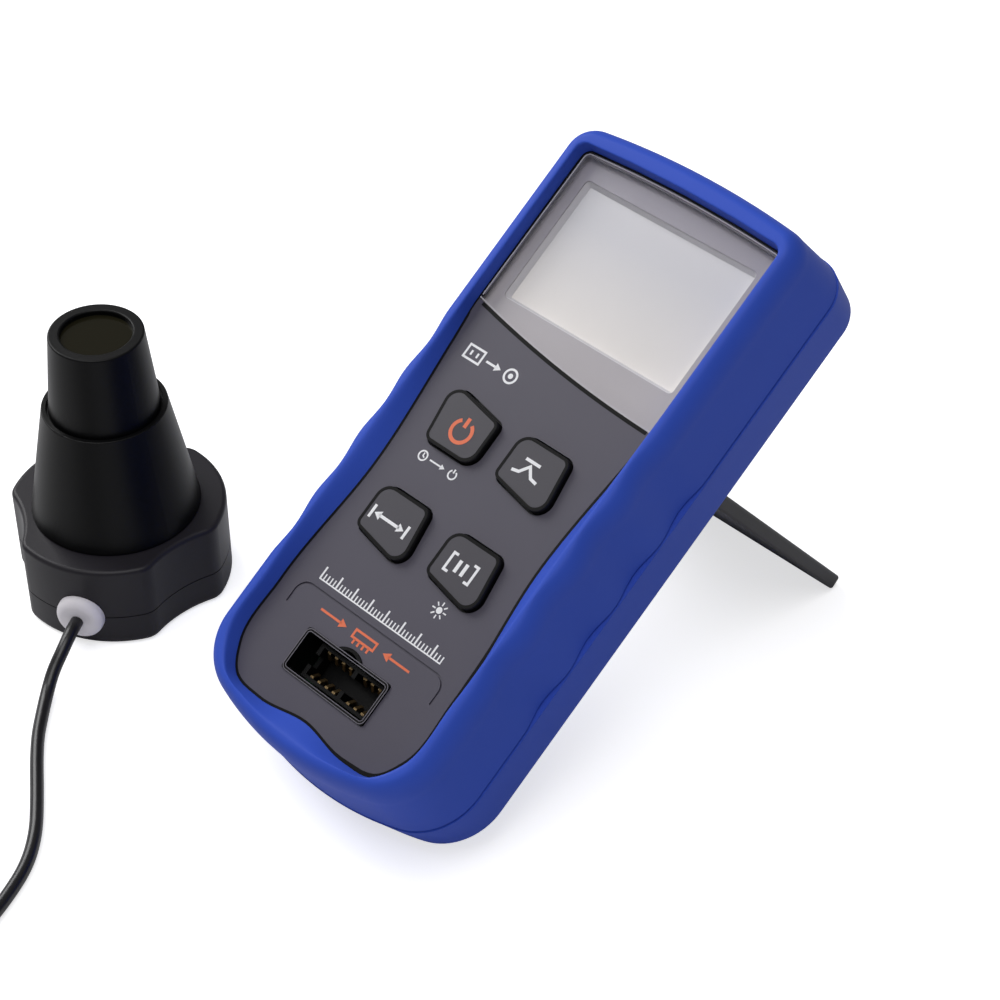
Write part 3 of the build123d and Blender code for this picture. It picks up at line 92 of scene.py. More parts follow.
# control points of the coil's half turns: inwards on the floor, then outwards one layer up
def coilPoints(coil):
    widest = coil["radius"]
    inwards = [widest - step * coil["pitch"] / 2 for step in range(2 * coil["turnsInwards"])]
    inner = widest - coil["turnsInwards"] * coil["pitch"]
    radii = inwards + [inner] + inwards[:0:-1]
    rises = [0] * len(inwards) + [coil["layer"]] + [0] * (len(inwards) - 1)
    x, y = coil["middle"][0] + widest, coil["middle"][1]
    z = coil["foot"]
    share = pi / coil["pointsPerHalfTurn"]
    side = -1
    points = []
    for radius, rise in zip(radii, rises):
        reach = radius / cos(share / 2)
        for step in range(coil["pointsPerHalfTurn"]):
            angle = (step + 0.5) * share
            points.append((
                x + side * (radius - reach * cos(angle)),
                y + side * reach * sin(angle),
                z + rise * angle / pi,
            ))
        x += 2 * side * radius
        z += rise
        side = -side
    return points


def makeLead(sizes):
    start = Vector(sizes["exit"])
    points = [start, start + Vector(sizes["heading"]) * sizes["exitRun"]]
    for stretch in (sizes["route"], coilPoints(sizes["coil"]), sizes["tail"]):
        points += [Vector(point) for point in stretch]
    deselectAll()
    bpy.ops.curve.primitive_nurbs_path_add()
    piece = bpy.context.object
    piece.name = "sensor_lead"
    curve = piece.data
    curve.splines.clear()
    spline = curve.splines.new("NURBS")
    spline.points.add(len(points) - 1)
    for spot, point in zip(spline.points, points):
        spot.co = (*(point * mm), 1)
        spot.radius = sizes["diameter"] / 2
    spline.order_u = 3
    spline.use_endpoint_u = True
    curve.dimensions = "3D"
    curve.resolution_u = sizes["stepsAlong"]
    curve.bevel_depth = 1  # times each point's radius
    curve.bevel_resolution = sizes["stepsRound"]
    curve.use_fill_caps = True
    return piece


lead = makeLead(leadSet)
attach(lead, "probe")
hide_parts("sensor_cord", "cord_coil", "cord_tail")
print("lead done")


# shader maths: a wrapped socket, so that masks and mixes read as plain sums
class Wire:
    def __init__(self, tree, socket=None):
        self.tree = tree
        self.socket = socket

    def node(self, kind, settings=None, sockets=None, output=0):
        made = self.tree.nodes.new("ShaderNode" + kind)
        for name, value in (settings or {}).items():
            setattr(made, name, value)
        for name, value in (sockets or {}).items():
            if isinstance(value, Wire):
                self.tree.links.new(value.socket, made.inputs[name])
            else:
                made.inputs[name].default_value = value
        return Wire(self.tree, made.outputs[output])

    def maths(self, operation, one, two):
        return self.node("Math", {"operation": operation}, {0: one, 1: two})

    def __add__(self, other):
        return self.maths("ADD", self, other)

    def __sub__(self, other):
        return self.maths("SUBTRACT", self, other)

    def __rsub__(self, other):
        return self.maths("SUBTRACT", other, self)

    def __mul__(self, other):
        return self.maths("MULTIPLY", self, other)

    def __truediv__(self, other):
        return self.maths("DIVIDE", self, other)

    def __rtruediv__(self, other):
        return self.maths("DIVIDE", other, self)

    __radd__ = __add__
    __rmul__ = __mul__


# a colour given as a screen shows it, from 0 to 255
def paint(red, green, blue):
    shares = [value / 255 for value in (red, green, blue)]
    linear = [
        share / 12.92 if share <= 0.04045 else ((share + 0.055) / 1.055) ** 2.4
        for share in shares
    ]
    return [*linear, 1]


def shade(colour, factor):
    return [*(min(1, value * factor) for value in colour[:3]), 1]


# a new material and a wire from its shader's own output
def makeMaterial(name, constants):
    material = bpy.data.materials.new(name)
    material.use_nodes = True
    tree = material.node_tree
    shader = tree.nodes["Principled BSDF"]
    for socket, value in constants.items():
        shader.inputs[socket].default_value = value
    return material, Wire(tree, shader.outputs[0])


def feed(node, **sockets):
    for name, wire in sockets.items():
        wire.tree.links.new(wire.socket, node.inputs[name.replace("_", " ")])


def toOutput(wire, name="Material Output"):
    feed(wire.tree.nodes[name], Surface=wire)


# one look for the camera, another for all other rays
def toCamera(plain, shown):
    seen = plain.node("LightPath", output="Is Camera Ray")
    return plain.node("MixShader", {}, {0: seen, 1: plain, 2: shown})


# a Mix node's sockets 6 and 7 are its colours, its output 2 the mixed one
def mixColour(wire, factor, low, high):
    return wire.node("Mix", {"data_type": "RGBA"}, {0: factor, 6: low, 7: high}, output=2)


# share from 0 to 1 of the way from low to high
def shareBetween(wire, low, high):
    return wire.node("Clamp", {}, {"Value": (wire - low) / (high - low)})


# the panel's own plane in millimetres: x across, y towards the display, z out of the panel
panelSet = {"origin": (104.1, 37.9, 77.633), "lean": 34.7}
lean = radians(panelSet["lean"])
panelFrame = Matrix.Scale(mm, 4) @ Matrix((
    (1, 0, 0, panelSet["origin"][0]),
    (0, cos(lean), -sin(lean), panelSet["origin"][1]),
    (0, sin(lean), cos(lean), panelSet["origin"][2]),
    (0, 0, 0, 1),
))


# share between two places along a direction of the panel, in its millimetres
def panelShare(spot, direction, low, high):
    way = panelFrame.to_3x3().normalized() @ Vector(direction)
    along = spot.node("VectorMath", {"operation": "DOT_PRODUCT"}, {0: spot, 1: way}, output="Value")
    start = way.dot(panelFrame.translation)
    return shareBetween(along, start + low * mm, start + high * mm)


# painted light and shade: second colours that take over up the panel (shade towards the window's
# top), down a key's side (black shade round the key) and inside the panel's wells (pale, lightening
# their shade)
paintedLightWays = {"top": (0, 1, 0), "side": (0, 0, 1), "well": (0, 0, 1)}


# moulded finish: a slow drift of colour and gloss over a fine mould grain, with the painted light
# and shade of the second colours where a look lists them
def moulded(name, look):
    material, wire = makeMaterial(name, look.get("constants", {}))
    spot = wire.node("TexCoord", output="Object")
    drift, grain = (
        wire.node("TexNoise", {}, {
            "Vector": spot, "Scale": look[kind + "Scale"], "Detail": look[kind + "Detail"],
        })
        for kind in ("drift", "grain")
    )
    colour, spread = look["colour"], look["spread"]
    base = mixColour(wire, drift, shade(colour, 1 - spread), shade(colour, 1 + spread))
    for kind, direction in paintedLightWays.items():
        if kind + "Colour" in look:
            share = panelShare(spot, direction, *look[kind + "Fade"])
            base = mixColour(wire, share, base, look[kind + "Colour"])
    rough = look["rough"] + (drift + grain - 1) * look["roughSpread"]
    bump = wire.node("Bump", {}, {
        "Strength": look["grainStrength"], "Distance": look["grainDepth"] * mm, "Height": grain,
    })
    feed(wire.socket.node, Base_Color=base, Roughness=rough, Normal=bump)
    return material


looks = {
    "boot_rubber": {
        "colour": paint(53, 84, 193), "rough": 0.5, "constants": {"Specular IOR Level": 0.16},
        "grainScale": 2600, "grainDepth": 0.03, "grainStrength": 0.25,
    },
    "panel_plastic": {
        "colour": paint(73, 70, 83), "rough": 0.46,
        # painted light: the walls inside the panel's wells turn pale, lightening the shade that
        # falls in them
        "wellColour": paint(196, 192, 200), "wellFade": (-1.9, -1.95),
        "grainScale": 4200, "grainDepth": 0.04, "grainStrength": 0.4,
    },
    "key_plastic": {
        "colour": paint(63, 61, 69), "rough": 0.42,
        # painted shade: each key's sides turn black below its top, for the shade of the gap round
        # it
        "sideColour": paint(5, 5, 6), "sideFade": (1.69, 1.62),
        "grainScale": 4200, "grainDepth": 0.03, "grainStrength": 0.3,
    },
    "mask_grey": {
        "colour": paint(192, 187, 192), "rough": 0.3,
        # painted shade: the grey print turns darker towards the window's top
        "topColour": paint(160, 156, 168), "topFade": (30, 78),
    },
    "diffuser_white": {"colour": paint(220, 218, 223), "rough": 0.5},
    "display_pale": {
        "colour": paint(248, 243, 240), "rough": 0.25,
        # painted light: the display turns darker and cooler towards its top, lighter and warmer
        # lower down, as the light falls
        "topColour": paint(222, 221, 227), "topFade": (36, 62),
    },
    # painted shade: the board is darkened so that what shows of it inside the socket reads almost
    # black
    "board_green": {"colour": paint(14, 56, 36), "rough": 0.4},
    "chip_black": {"colour": paint(34, 34, 36), "rough": 0.45},
    "screw_steel": {"colour": paint(178, 178, 180), "rough": 0.3, "constants": {"Metallic": 1.0}},
    "mat_rubber": {"colour": paint(118, 118, 122), "rough": 0.6},
    "socket_black": {
        "colour": paint(7, 7, 8), "rough": 0.45, "constants": {"Specular IOR Level": 0.15},
    },
    "contact_brass": {"colour": paint(138, 117, 84), "rough": 0.42, "constants": {"Metallic": 1.0}},
    "cell_wrap": {"colour": paint(62, 64, 68), "rough": 0.3},
    "stand_plastic": {"colour": paint(21, 18, 23), "rough": 0.45},
    "probe_black": {
        "colour": paint(36, 34, 39), "rough": 0.4, "constants": {"Specular IOR Level": 0.25},
        "grainScale": 3600, "grainDepth": 0.03, "grainStrength": 0.3,
    },
    "cone_black": {
        "colour": paint(9, 9, 10), "rough": 0.38, "constants": {"Specular IOR Level": 0.16},
        "grainScale": 3600, "grainDepth": 0.03, "grainStrength": 0.3,
    },
    "filter_dark": {
        "colour": paint(30, 28, 18), "rough": 0.1,
        "constants": {"Specular IOR Level": 0.12, "Coat Weight": 0.1},
    },
    "grommet_pale": {"colour": paint(233, 229, 235), "rough": 0.5},
    "cord_black": {"colour": paint(16, 15, 18), "rough": 0.34, "constants": {"Coat Weight": 0.12}},
    "tie_black": {"colour": paint(20, 20, 21), "rough": 0.8},
    "plug_black": {"colour": paint(22, 22, 24), "rough": 0.4},
    "ink_white": {"colour": paint(236, 236, 240), "rough": 0.45, "grainStrength": 0.05},
    "ink_orange": {"colour": paint(226, 112, 74), "rough": 0.45, "grainStrength": 0.05},
    # painted light: grey for lines of painted shade and highlight, pale for the pane's painted
    # highlight
    "painted_line_grey": {"colour": paint(104, 101, 110), "rough": 0.35, "grainStrength": 0.05},
    "glint_pale": {"colour": paint(188, 185, 191), "rough": 0.5, "grainStrength": 0.05},
}
common = {
    "spread": 0.06, "roughSpread": 0.08, "driftScale": 45, "driftDetail": 3,
    "grainScale": 3000, "grainDetail": 4, "grainDepth": 0.02, "grainStrength": 0.2,
}
materials = {name: moulded(name, {**common, **look}) for name, look in looks.items()}

# clear window: see-through but for what its outer faces reflect
windowSet = {
    "colour": paint(30, 30, 34), "rough": 0.12, "ior": 1.45, "clear": (0.98, 0.98, 0.98, 1),
}


def clearWindow(window):
    material, wire = makeMaterial("window_clear", {
        "Base Color": window["colour"], "Roughness": window["rough"],
    })
    inside = wire.node("NewGeometry", output="Backfacing")
    gloss = wire.node("Fresnel", {}, {"IOR": window["ior"]}) * (1 - inside)
    seeThrough = wire.node("BsdfTransparent", {}, {"Color": window["clear"]})
    toOutput(wire.node("MixShader", {}, {0: gloss, 1: seeThrough, 2: wire}))
    return material


materials["window_clear"] = clearWindow(windowSet)
slots = {part["node"]: part["material_slot"] for part in frame["record"]["subparts"]}
blackerNodes = ("lower_cone", "nose_barrel")
for name, node in nodes.items():
    node.data.materials.clear()
    node.data.materials.append(materials["cone_black" if name in blackerNodes else slots[name]])
lead.data.materials.append(materials["cord_black"])
print("materials done")


# a piece made flat on the panel's plane goes to its place, with its material and its body
def settle(piece, name, body, material):
    piece.name = name
    piece.data.transform(panelFrame)
    piece.data.materials.clear()
    piece.data.materials.append(materials[material])
    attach(piece, body)


def settleSmooth(piece, name, body, slot, angle=30):
    settle(piece, name, body, slot)
    selectOnly(piece)
    bpy.ops.object.shade_smooth_by_angle(angle=radians(angle))


def raised(spot, z):
    return Vector((spot.x, spot.y, z))


# a grid primitive wrapped into a skin, one row of the grid for each loop of points, and sewn up
def wrapGrid(loops, closed=True, caps=False, merge=1e-5):
    around = len(loops[0])
    across = around if closed else around - 1
    deselectAll()
    bpy.ops.mesh.primitive_grid_add(x_subdivisions=across, y_subdivisions=len(loops) - 1)
    piece = bpy.context.object
    for vertex in piece.data.vertices:
        row, column = divmod(vertex.index, across + 1)
        vertex.co = loops[row][column % around]
    bpy.ops.object.mode_set(mode="EDIT")
    bpy.ops.mesh.select_all(action="SELECT")
    bpy.ops.mesh.remove_doubles(threshold=merge)
    if caps:
        bpy.ops.mesh.fill_holes(sides=0)
    bpy.ops.mesh.select_all(action="SELECT")
    bpy.ops.mesh.normals_make_consistent(inside=False)
    bpy.ops.object.mode_set(mode="OBJECT")
    return piece


# rubber boot: outlines on the panel's plane, joined level by level into one closed skin
bootSet = {
    "halfWidth": 37.2, "halfLength": 86.0, "sideSteps": 110,
    "top": {"crown": 2.7, "corner": 8.2, "crownSteps": 16, "cornerSteps": 12},
    "foot": {"crown": 8.4, "corner": 16.5, "crownSteps": 14, "cornerSteps": 20},
    "grips": {"depth": 1.1, "top": 25.5, "pitch": 18.6, "count": 4, "sideReach": 0.1},
    # edge of the opening on the panel, and the rim's crest above it
    "opening": {
        "halfWidth": 32.2, "top": 79.1, "straightEnd": 32.1,
        "side": ((31.14, 20.04), (28.31, -14.88), (30.69, -52.03), (29.31, -70.52),
                 (24.59, -76.88), (15.21, -78.43), (0, -76.5)),
    },
    "crest": {
        "halfWidth": 32.5, "top": 79.4, "straightEnd": 32.1,
        "side": ((32.36, 20.04), (32.22, -14.88), (32.22, -52.03), (30.62, -71.04),
                 (25.18, -77.57), (15.21, -80.24), (0, -80.93)),
    },
    "openingTop": {"crown": 1.3, "corner": 2.5, "cornerRise": 0.16, "pull": 0.55},
    "cornerPoints": 9, "curvePoints": 17,  # of the opening's corners and of each side curve
    # back: its rounded edge, then a wall that flares to the parting line
    "depth": 35.0, "backInsets": (3.0, 1.4), "backFlare": 1.2, "backRadius": 2.0, "backSteps": 6,
    "backRows": (0.25, 0.5, 0.75, 0.93, 0.98),
    "partingDepth": 20.0, "partingFlare": 1.8, "partingStep": 0.3,
    # groove at the parting line: height in its own widths, growth over the flare, share of grips
    "grooveWidth": 0.22,
    "grooveRows": (
        (-1.6, 0.3, 0), (-1, 0.2, 0), (-0.6, -0.5, 0.8),
        (0.6, -0.5, 0.8), (1, -0.1, 1), (1.8, 0, 1),
    ),
    # front: the wall draws in to the shoulder, which rounds over to the rim
    "frontRows": (0.06, 0.25, 0.5, 0.75, 0.94), "rimHeight": 3.8,
    "shoulderDepth": 7.5, "shoulderIn": 3.9, "shoulderSteps": 12,
    # rounding of the crest: its width outside and its share of the slope inside
    "crestWidth": {"least": 0.4, "perSlope": 0.3, "most": 1.6}, "crestRoom": 0.6,
    "crestShare": {"least": 0.12, "perSlope": 0.08, "most": 0.42}, "crestSteps": 7,
    "slopeRows": (0.4, 0.8), "lipHeight": 0.02, "undercut": 0.4,
    "cavityDepth": 27.5, "wall": 2.9,
    # cuts and lugs at the back
    "recess": {"top": 27.655, "foot": -59.47, "halfWidth": 36.2, "floor": -30.6, "corner": 2.0},
    "notch": {"radius": 11.0, "y": -59.47},
    "lugs": {
        "x": 20.0, "width": 4.0, "y": 25.155, "z": -33.0, "radius": 2.0,
        "halfDepth": 1.99, "edge": 0.2, "overlap": 1.0,
    },
    "cutBeyond": 2.0,
}


def flipped(outline, x, y):
    turn = Matrix(((x, 0), (0, y)))
    return [(turn @ spot, turn @ normal) for spot, normal in outline]


# points and outward normals round the boot, clockwise from the middle of its top
def bootOutline(boot):
    halfWidth, halfLength = boot["halfWidth"], boot["halfLength"]

    def crownAndCorner(end):
        crown, corner = end["crown"], end["corner"]
        radius = (halfWidth ** 2 + crown ** 2) / (2 * crown)
        middle = Vector((0, halfLength - radius))
        cornerX = halfWidth - corner
        cornerMiddle = middle + Vector((cornerX, sqrt((radius - corner) ** 2 - cornerX ** 2)))
        spread = asin(cornerX / (radius - corner))
        found = []
        for step in range(end["crownSteps"]):
            angle = spread * step / end["crownSteps"]
            normal = Vector((sin(angle), cos(angle)))
            found.append((middle + radius * normal, normal))
        for step in range(end["cornerSteps"] + 1):
            angle = spread + (pi / 2 - spread) * step / end["cornerSteps"]
            normal = Vector((sin(angle), cos(angle)))
            found.append((cornerMiddle + corner * normal, normal))
        return found

    top = crownAndCorner(boot["top"])
    foot = flipped(crownAndCorner(boot["foot"]), 1, -1)
    sideTop, sideFoot = top[-1][0], foot[-1][0]
    side = [
        (sideTop.lerp(sideFoot, step / boot["sideSteps"]), Vector((1, 0)))
        for step in range(1, boot["sideSteps"])
    ]
    half = top + side + foot[::-1]
    return half + flipped(half[-2:0:-1], -1, 1)


def bezier(start, startPull, endPull, end, count):
    corners = [corner.to_3d() for corner in (start, startPull, endPull, end)]
    return [point.to_2d() for point in geometry.interpolate_bezier(*corners, count)]


# crowned top with small corners, then one smooth curve down the side and round the foot
def openingLine(boot, sizes):
    halfWidth, top = sizes["halfWidth"], sizes["top"]
    openingTop = boot["openingTop"]
    crown, corner, pull = openingTop["crown"], openingTop["corner"], openingTop["pull"]
    line = [Vector((0, top)), Vector((halfWidth / 2, top - crown / 4))]
    shoulder = Vector((halfWidth, top - crown))
    start = shoulder + Vector((-corner, crown * openingTop["cornerRise"]))
    end = shoulder + Vector((0, -corner))
    line += bezier(
        start, start.lerp(shoulder, pull), end.lerp(shoulder, pull), end, boot["cornerPoints"]
    )
    knots = [Vector((halfWidth, sizes["straightEnd"]))] + [Vector(spot) for spot in sizes["side"]]
    slopes = [Vector((0, -1))]
    for before, spot, after in zip(knots, knots[1:], knots[2:]):
        wayIn, wayOut = spot - before, after - spot
        slopes.append((wayIn / wayIn.length ** 2 + wayOut / wayOut.length ** 2).normalized())
    slopes.append(Vector((-1, 0)))
    for one, two, slopeOne, slopeTwo in zip(knots, knots[1:], slopes, slopes[1:]):
        reach = (two - one).length / 3
        curve = bezier(
            one, one + slopeOne * reach, two - slopeTwo * reach, two, boot["curvePoints"]
        )
        line += curve[:-1]
    line.append(knots[-1])
    return line + [Vector((-spot.x, spot.y)) for spot in line[-2:0:-1]]


# where each normal of the outline, followed inwards, first meets a line
def meetInwards(outline, line, reach=30):
    met = []
    for spot, normal in outline:
        hits = [
            geometry.intersect_line_line_2d(spot, spot - normal * reach, one, two)
            for one, two in zip(line, line[1:] + line[:1])
        ]
        met.append(min((hit for hit in hits if hit), key=lambda hit: (hit - spot).length))
    return met


# a measure that grows with the width of the slope inside the rim, up to its most
def bySlope(sizes, slope):
    return min(sizes["most"], sizes["least"] + sizes["perSlope"] * slope)


def makeBoot(boot):
    outline = bootOutline(boot)
    inner = meetInwards(outline, openingLine(boot, boot["opening"]))
    crest = meetInwards(outline, openingLine(boot, boot["crest"]))
    grips = boot["grips"]

    def gripDepth(spot):
        along = (grips["top"] - spot.y) / grips["pitch"]
        onSide = abs(spot.x) >= boot["halfWidth"] - grips["sideReach"]
        if not onSide or along < 0 or along > grips["count"]:
            return 0
        return grips["depth"] * (1 - cos(2 * pi * along)) / 2

    def level(z, grow, gripShare=0):
        return [
            raised(spot + normal * (grow - gripDepth(spot) * gripShare), z)
            for spot, normal in outline
        ]

    back, parting, rim = -boot["depth"], -boot["partingDepth"], boot["rimHeight"]
    backFlare, backRadius = boot["backFlare"], boot["backRadius"]
    loops = [level(back, -inset) for inset in boot["backInsets"]]
    for step in range(boot["backSteps"] + 1):
        angle = pi / 2 * step / boot["backSteps"]
        loops.append(level(
            back + backRadius * (1 - cos(angle)), backFlare - backRadius * (1 - sin(angle))
        ))
    flare = boot["partingFlare"]
    backWall = flare + boot["partingStep"] - backFlare
    wallFoot = back + backRadius
    for share in boot["backRows"]:
        loops.append(level(wallFoot + (parting - wallFoot) * share, backFlare + backWall * share))
    for height, grow, gripShare in boot["grooveRows"]:
        loops.append(level(parting + boot["grooveWidth"] * height, flare + grow, gripShare))
    shoulderFoot = rim - boot["shoulderDepth"]
    for share in boot["frontRows"]:
        loops.append(level(parting + (shoulderFoot - parting) * share, flare * (1 - share), 1))
    for step in range(boot["shoulderSteps"] + 1):
        angle = pi / 2 * step / boot["shoulderSteps"]
        loops.append(level(
            rim - boot["shoulderDepth"] * (1 - sin(angle)),
            -boot["shoulderIn"] * (1 - cos(angle)), cos(angle) ** 0.5,
        ))
    edge = loops[-1]
    slopes = [(crestSpot - innerSpot).length for crestSpot, innerSpot in zip(crest, inner)]
    band = []
    for (spot, normal), crestSpot, edgeSpot, slope in zip(outline, crest, edge, slopes):
        room = (edgeSpot.to_2d() - crestSpot).length
        width = min(bySlope(boot["crestWidth"], slope), room * boot["crestRoom"])
        band.append(raised(crestSpot + normal * width, rim))
    loops.append([edgeSpot.lerp(bandSpot, 0.5) for edgeSpot, bandSpot in zip(edge, band)])
    for step in range(boot["crestSteps"] + 1):
        share = step / boot["crestSteps"]
        loop = []
        for start, crestSpot, innerSpot, slope in zip(band, crest, inner, slopes):
            corner = raised(crestSpot, rim)
            end = corner.lerp(raised(innerSpot, 0), bySlope(boot["crestShare"], slope))
            loop.append(start.lerp(corner, share).lerp(corner.lerp(end, share), share))
        loops.append(loop)
    lastRound = loops[-1]
    for share in boot["slopeRows"]:
        loops.append([
            spot.lerp(raised(innerSpot, 0), share) for spot, innerSpot in zip(lastRound, inner)
        ])
    loops.append([raised(innerSpot, boot["lipHeight"]) for innerSpot in inner])
    loops.append([
        raised(innerSpot + normal * boot["undercut"], 0)
        for innerSpot, (spot, normal) in zip(inner, outline)
    ])
    loops.append(level(0, -boot["wall"]))
    loops.append(level(-boot["cavityDepth"], -boot["wall"]))
    return wrapGrid(loops, caps=True), inner, outline


def cutOrJoin(piece, tool, operation):
    selectOnly(piece)
    bpy.ops.object.modifier_add(type="BOOLEAN")
    change = piece.modifiers[-1]
    change.object = tool
    change.operation = operation
    change.solver = "MANIFOLD"
    bpy.ops.object.modifier_apply(modifier=change.name)
    bpy.data.objects.remove(tool)


# box with the edges along its height rounded
def roundedBox(low, high, radius, segments=6):
    deselectAll()
    bpy.ops.mesh.primitive_cube_add(size=1, location=(Vector(low) + Vector(high)) / 2)
    box = bpy.context.object
    box.scale = Vector(high) - Vector(low)
    bpy.ops.object.transform_apply(location=True, rotation=False, scale=True)
    bpy.ops.object.mode_set(mode="EDIT")
    bpy.ops.mesh.select_mode(type="EDGE")
    bpy.ops.mesh.select_all(action="DESELECT")
    bpy.ops.object.mode_set(mode="OBJECT")
    for cubeEdge in box.data.edges:
        one, two = (box.data.vertices[index].co for index in cubeEdge.vertices)
        cubeEdge.select = abs(one.z - two.z) > radius
    bpy.ops.object.mode_set(mode="EDIT")
    bpy.ops.mesh.bevel(offset=radius, segments=segments)
    bpy.ops.mesh.select_mode(type="VERT")
    bpy.ops.object.mode_set(mode="OBJECT")
    return box


# rod between two points that lie along x or along z
def turnedRod(radius, start, end, sides=48):
    way = Vector(end) - Vector(start)
    deselectAll()
    bpy.ops.mesh.primitive_cylinder_add(
        vertices=sides, radius=radius, depth=way.length,
        location=(Vector(start) + Vector(end)) / 2, rotation=(0, pi / 2 if way.x else 0, 0),
    )
    rod = bpy.context.object
    bpy.ops.object.transform_apply(location=True, rotation=True, scale=False)
    return rod


boot, bootInner, bootLine = makeBoot(bootSet)
recess, notch, lugs = bootSet["recess"], bootSet["notch"], bootSet["lugs"]
behind = -bootSet["depth"] - bootSet["cutBeyond"]
cutOrJoin(boot, roundedBox(
    (-recess["halfWidth"], recess["foot"], behind),
    (recess["halfWidth"], recess["top"], recess["floor"]), recess["corner"],
), "DIFFERENCE")
cutOrJoin(boot, turnedRod(
    notch["radius"], (0, notch["y"], behind), (0, notch["y"], recess["floor"]),
), "DIFFERENCE")
for side in (-1, 1):
    near = side * lugs["x"] - lugs["width"] / 2
    far = near + lugs["width"]
    cutOrJoin(boot, turnedRod(
        lugs["radius"], (near, lugs["y"], lugs["z"]), (far, lugs["y"], lugs["z"]),
    ), "UNION")
    cutOrJoin(boot, roundedBox(
        (near, lugs["y"] - lugs["halfDepth"], lugs["z"]),
        (far, lugs["y"] + lugs["halfDepth"], recess["floor"] + lugs["overlap"]), lugs["edge"],
    ), "UNION")
settleSmooth(boot, "boot", "meter", "boot_rubber", 32)
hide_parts("holster")
print("boot done", len(boot.data.polygons))


# outline with rounded corners: points and outward normals, for the pane, the lip and the lines
def roundedOutline(corners, radii, steps=8):
    found = []
    nextCorners = corners[1:] + corners[:1]
    area = sum(one[0] * two[1] - one[1] * two[0] for one, two in zip(corners, nextCorners))
    sense = 1 if area > 0 else -1
    spots = [Vector(corner) for corner in corners]
    for before, corner, after, radius in zip(spots[-1:] + spots, spots, spots[1:] + spots, radii):
        wayIn = (corner - before).normalized()
        wayOut = (after - corner).normalized()
        normalIn = Vector((wayIn.y, -wayIn.x)) * sense
        normalOut = Vector((wayOut.y, -wayOut.x)) * sense
        turn = wayIn.angle(wayOut)
        middle = corner - wayIn * radius * tan(turn / 2) - normalIn * radius
        for step in range(steps + 1):
            normal = normalIn.slerp(normalOut, step / steps)
            found.append((middle + normal * radius, normal))
    return found


def roundedFrame(left, foot, right, top, radius):
    corners = [(left, foot), (right, foot), (right, top), (left, top)]
    return roundedOutline(corners, [radius] * 4)


def loopAt(outline, grow, z):
    return [raised(spot + normal * grow, z) for spot, normal in outline]


# clear pane over the display, with a bevelled edge and its foot just clear of the grey print
paneSet = {
    "halfWidth": 32.6, "top": 79.5, "crown": 1.3, "foot": (32.4, 27.3, 25.3), "steps": 24,
    "corner": 2.9, "plainCorner": 0.02, "cornerSteps": 6,
    "thickness": 1.94, "bevel": 0.35, "bevelTurn": (0.4, 0.25), "rise": -0.02,
}


# one group of points for each corner of the pane: along its top, then back along its foot
def paneOutline(pane):
    halfWidth, steps = pane["halfWidth"], pane["steps"]
    left, middle, right = pane["foot"]
    bend = 4 * (middle - (left + right) / 2)
    top, foot = [], []
    for step in range(steps + 1):
        share = step / steps
        across = 2 * share - 1
        top.append((halfWidth * across, pane["top"] - pane["crown"] * across ** 2))
        y = left + (right - left) * share + bend * share * (1 - share)
        foot.append((halfWidth * across, y))
    corners = top + foot[::-1]
    radii = [pane["plainCorner"]] * len(corners)
    radii[0] = radii[steps] = pane["corner"]
    points = roundedOutline(corners, radii, pane["cornerSteps"])
    count = pane["cornerSteps"] + 1
    groups = [points[start:start + count] for start in range(0, len(points), count)]
    return [
        group if radius == pane["corner"] else [group[count // 2]]
        for group, radius in zip(groups, radii)
    ]


paneGroups = paneOutline(paneSet)
paneLine = [point for group in paneGroups for point in group]
bevel, rise = paneSet["bevel"], paneSet["rise"]
bevelIn, bevelDown = paneSet["bevelTurn"]
pane = wrapGrid([
    loopAt(paneLine, -bevel, rise), loopAt(paneLine, -bevel * bevelIn, rise - bevel * bevelDown),
    loopAt(paneLine, 0, rise - bevel), loopAt(paneLine, 0, -paneSet["thickness"]),
], caps=True)
settleSmooth(pane, "window_pane", "meter", "window_clear", 20)
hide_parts("lens_window")

# pale lip round the display, sloping down from the grey print to the glass
lipSet = {
    "halfWidth": 27.85, "low": 35.95, "high": 71.45, "corner": 1.25,
    "edge": 0.12, "slope": 0.9, "top": -2.32, "foot": -3.88,
}
lipLine = roundedFrame(
    -lipSet["halfWidth"], lipSet["low"], lipSet["halfWidth"], lipSet["high"], lipSet["corner"],
)
lip = wrapGrid([
    loopAt(lipLine, 0, lipSet["top"]), loopAt(lipLine, -lipSet["edge"], lipSet["top"]),
    loopAt(lipLine, -lipSet["slope"], lipSet["foot"]), loopAt(lipLine, 0, lipSet["foot"]),
    loopAt(lipLine, 0, lipSet["top"]),
])
settleSmooth(lip, "display_lip", "meter", "diffuser_white")

# painted shade: black band on the panel along the boot's opening, for the shade in the gap between
# them
seamShadeSet = {
    "width": 0.7, "widthByPane": 0.45, "paneFoot": 27, "foot": 0.005, "top": 0.04,
    "cornerExtra": 0.4, "cornerTop": -36, "cornerSide": 9, "cornerReach": 10,
}


# painted shade: wider at the foot's right corner, where the rim hangs over it
def seamShadeWidth(spot, sizes):
    if spot.y > sizes["paneFoot"]:
        return sizes["widthByPane"]
    down = (sizes["cornerTop"] - spot.y) / sizes["cornerReach"]
    across = (spot.x - sizes["cornerSide"]) / sizes["cornerReach"]
    return sizes["width"] + sizes["cornerExtra"] * max(0, min(1, down, across))


seamShade = wrapGrid([
    [
        raised(spot - normal * share * seamShadeWidth(spot, seamShadeSet), seamShadeSet[height])
        for spot, (outer, normal) in zip(bootInner, bootLine)
    ]
    for share, height in ((0, "foot"), (0, "top"), (1, "top"), (1, "foot"), (0, "foot"))
])
settleSmooth(seamShade, "panel_seam_shade", "meter", "socket_black")
print("pane, lip and seam done")

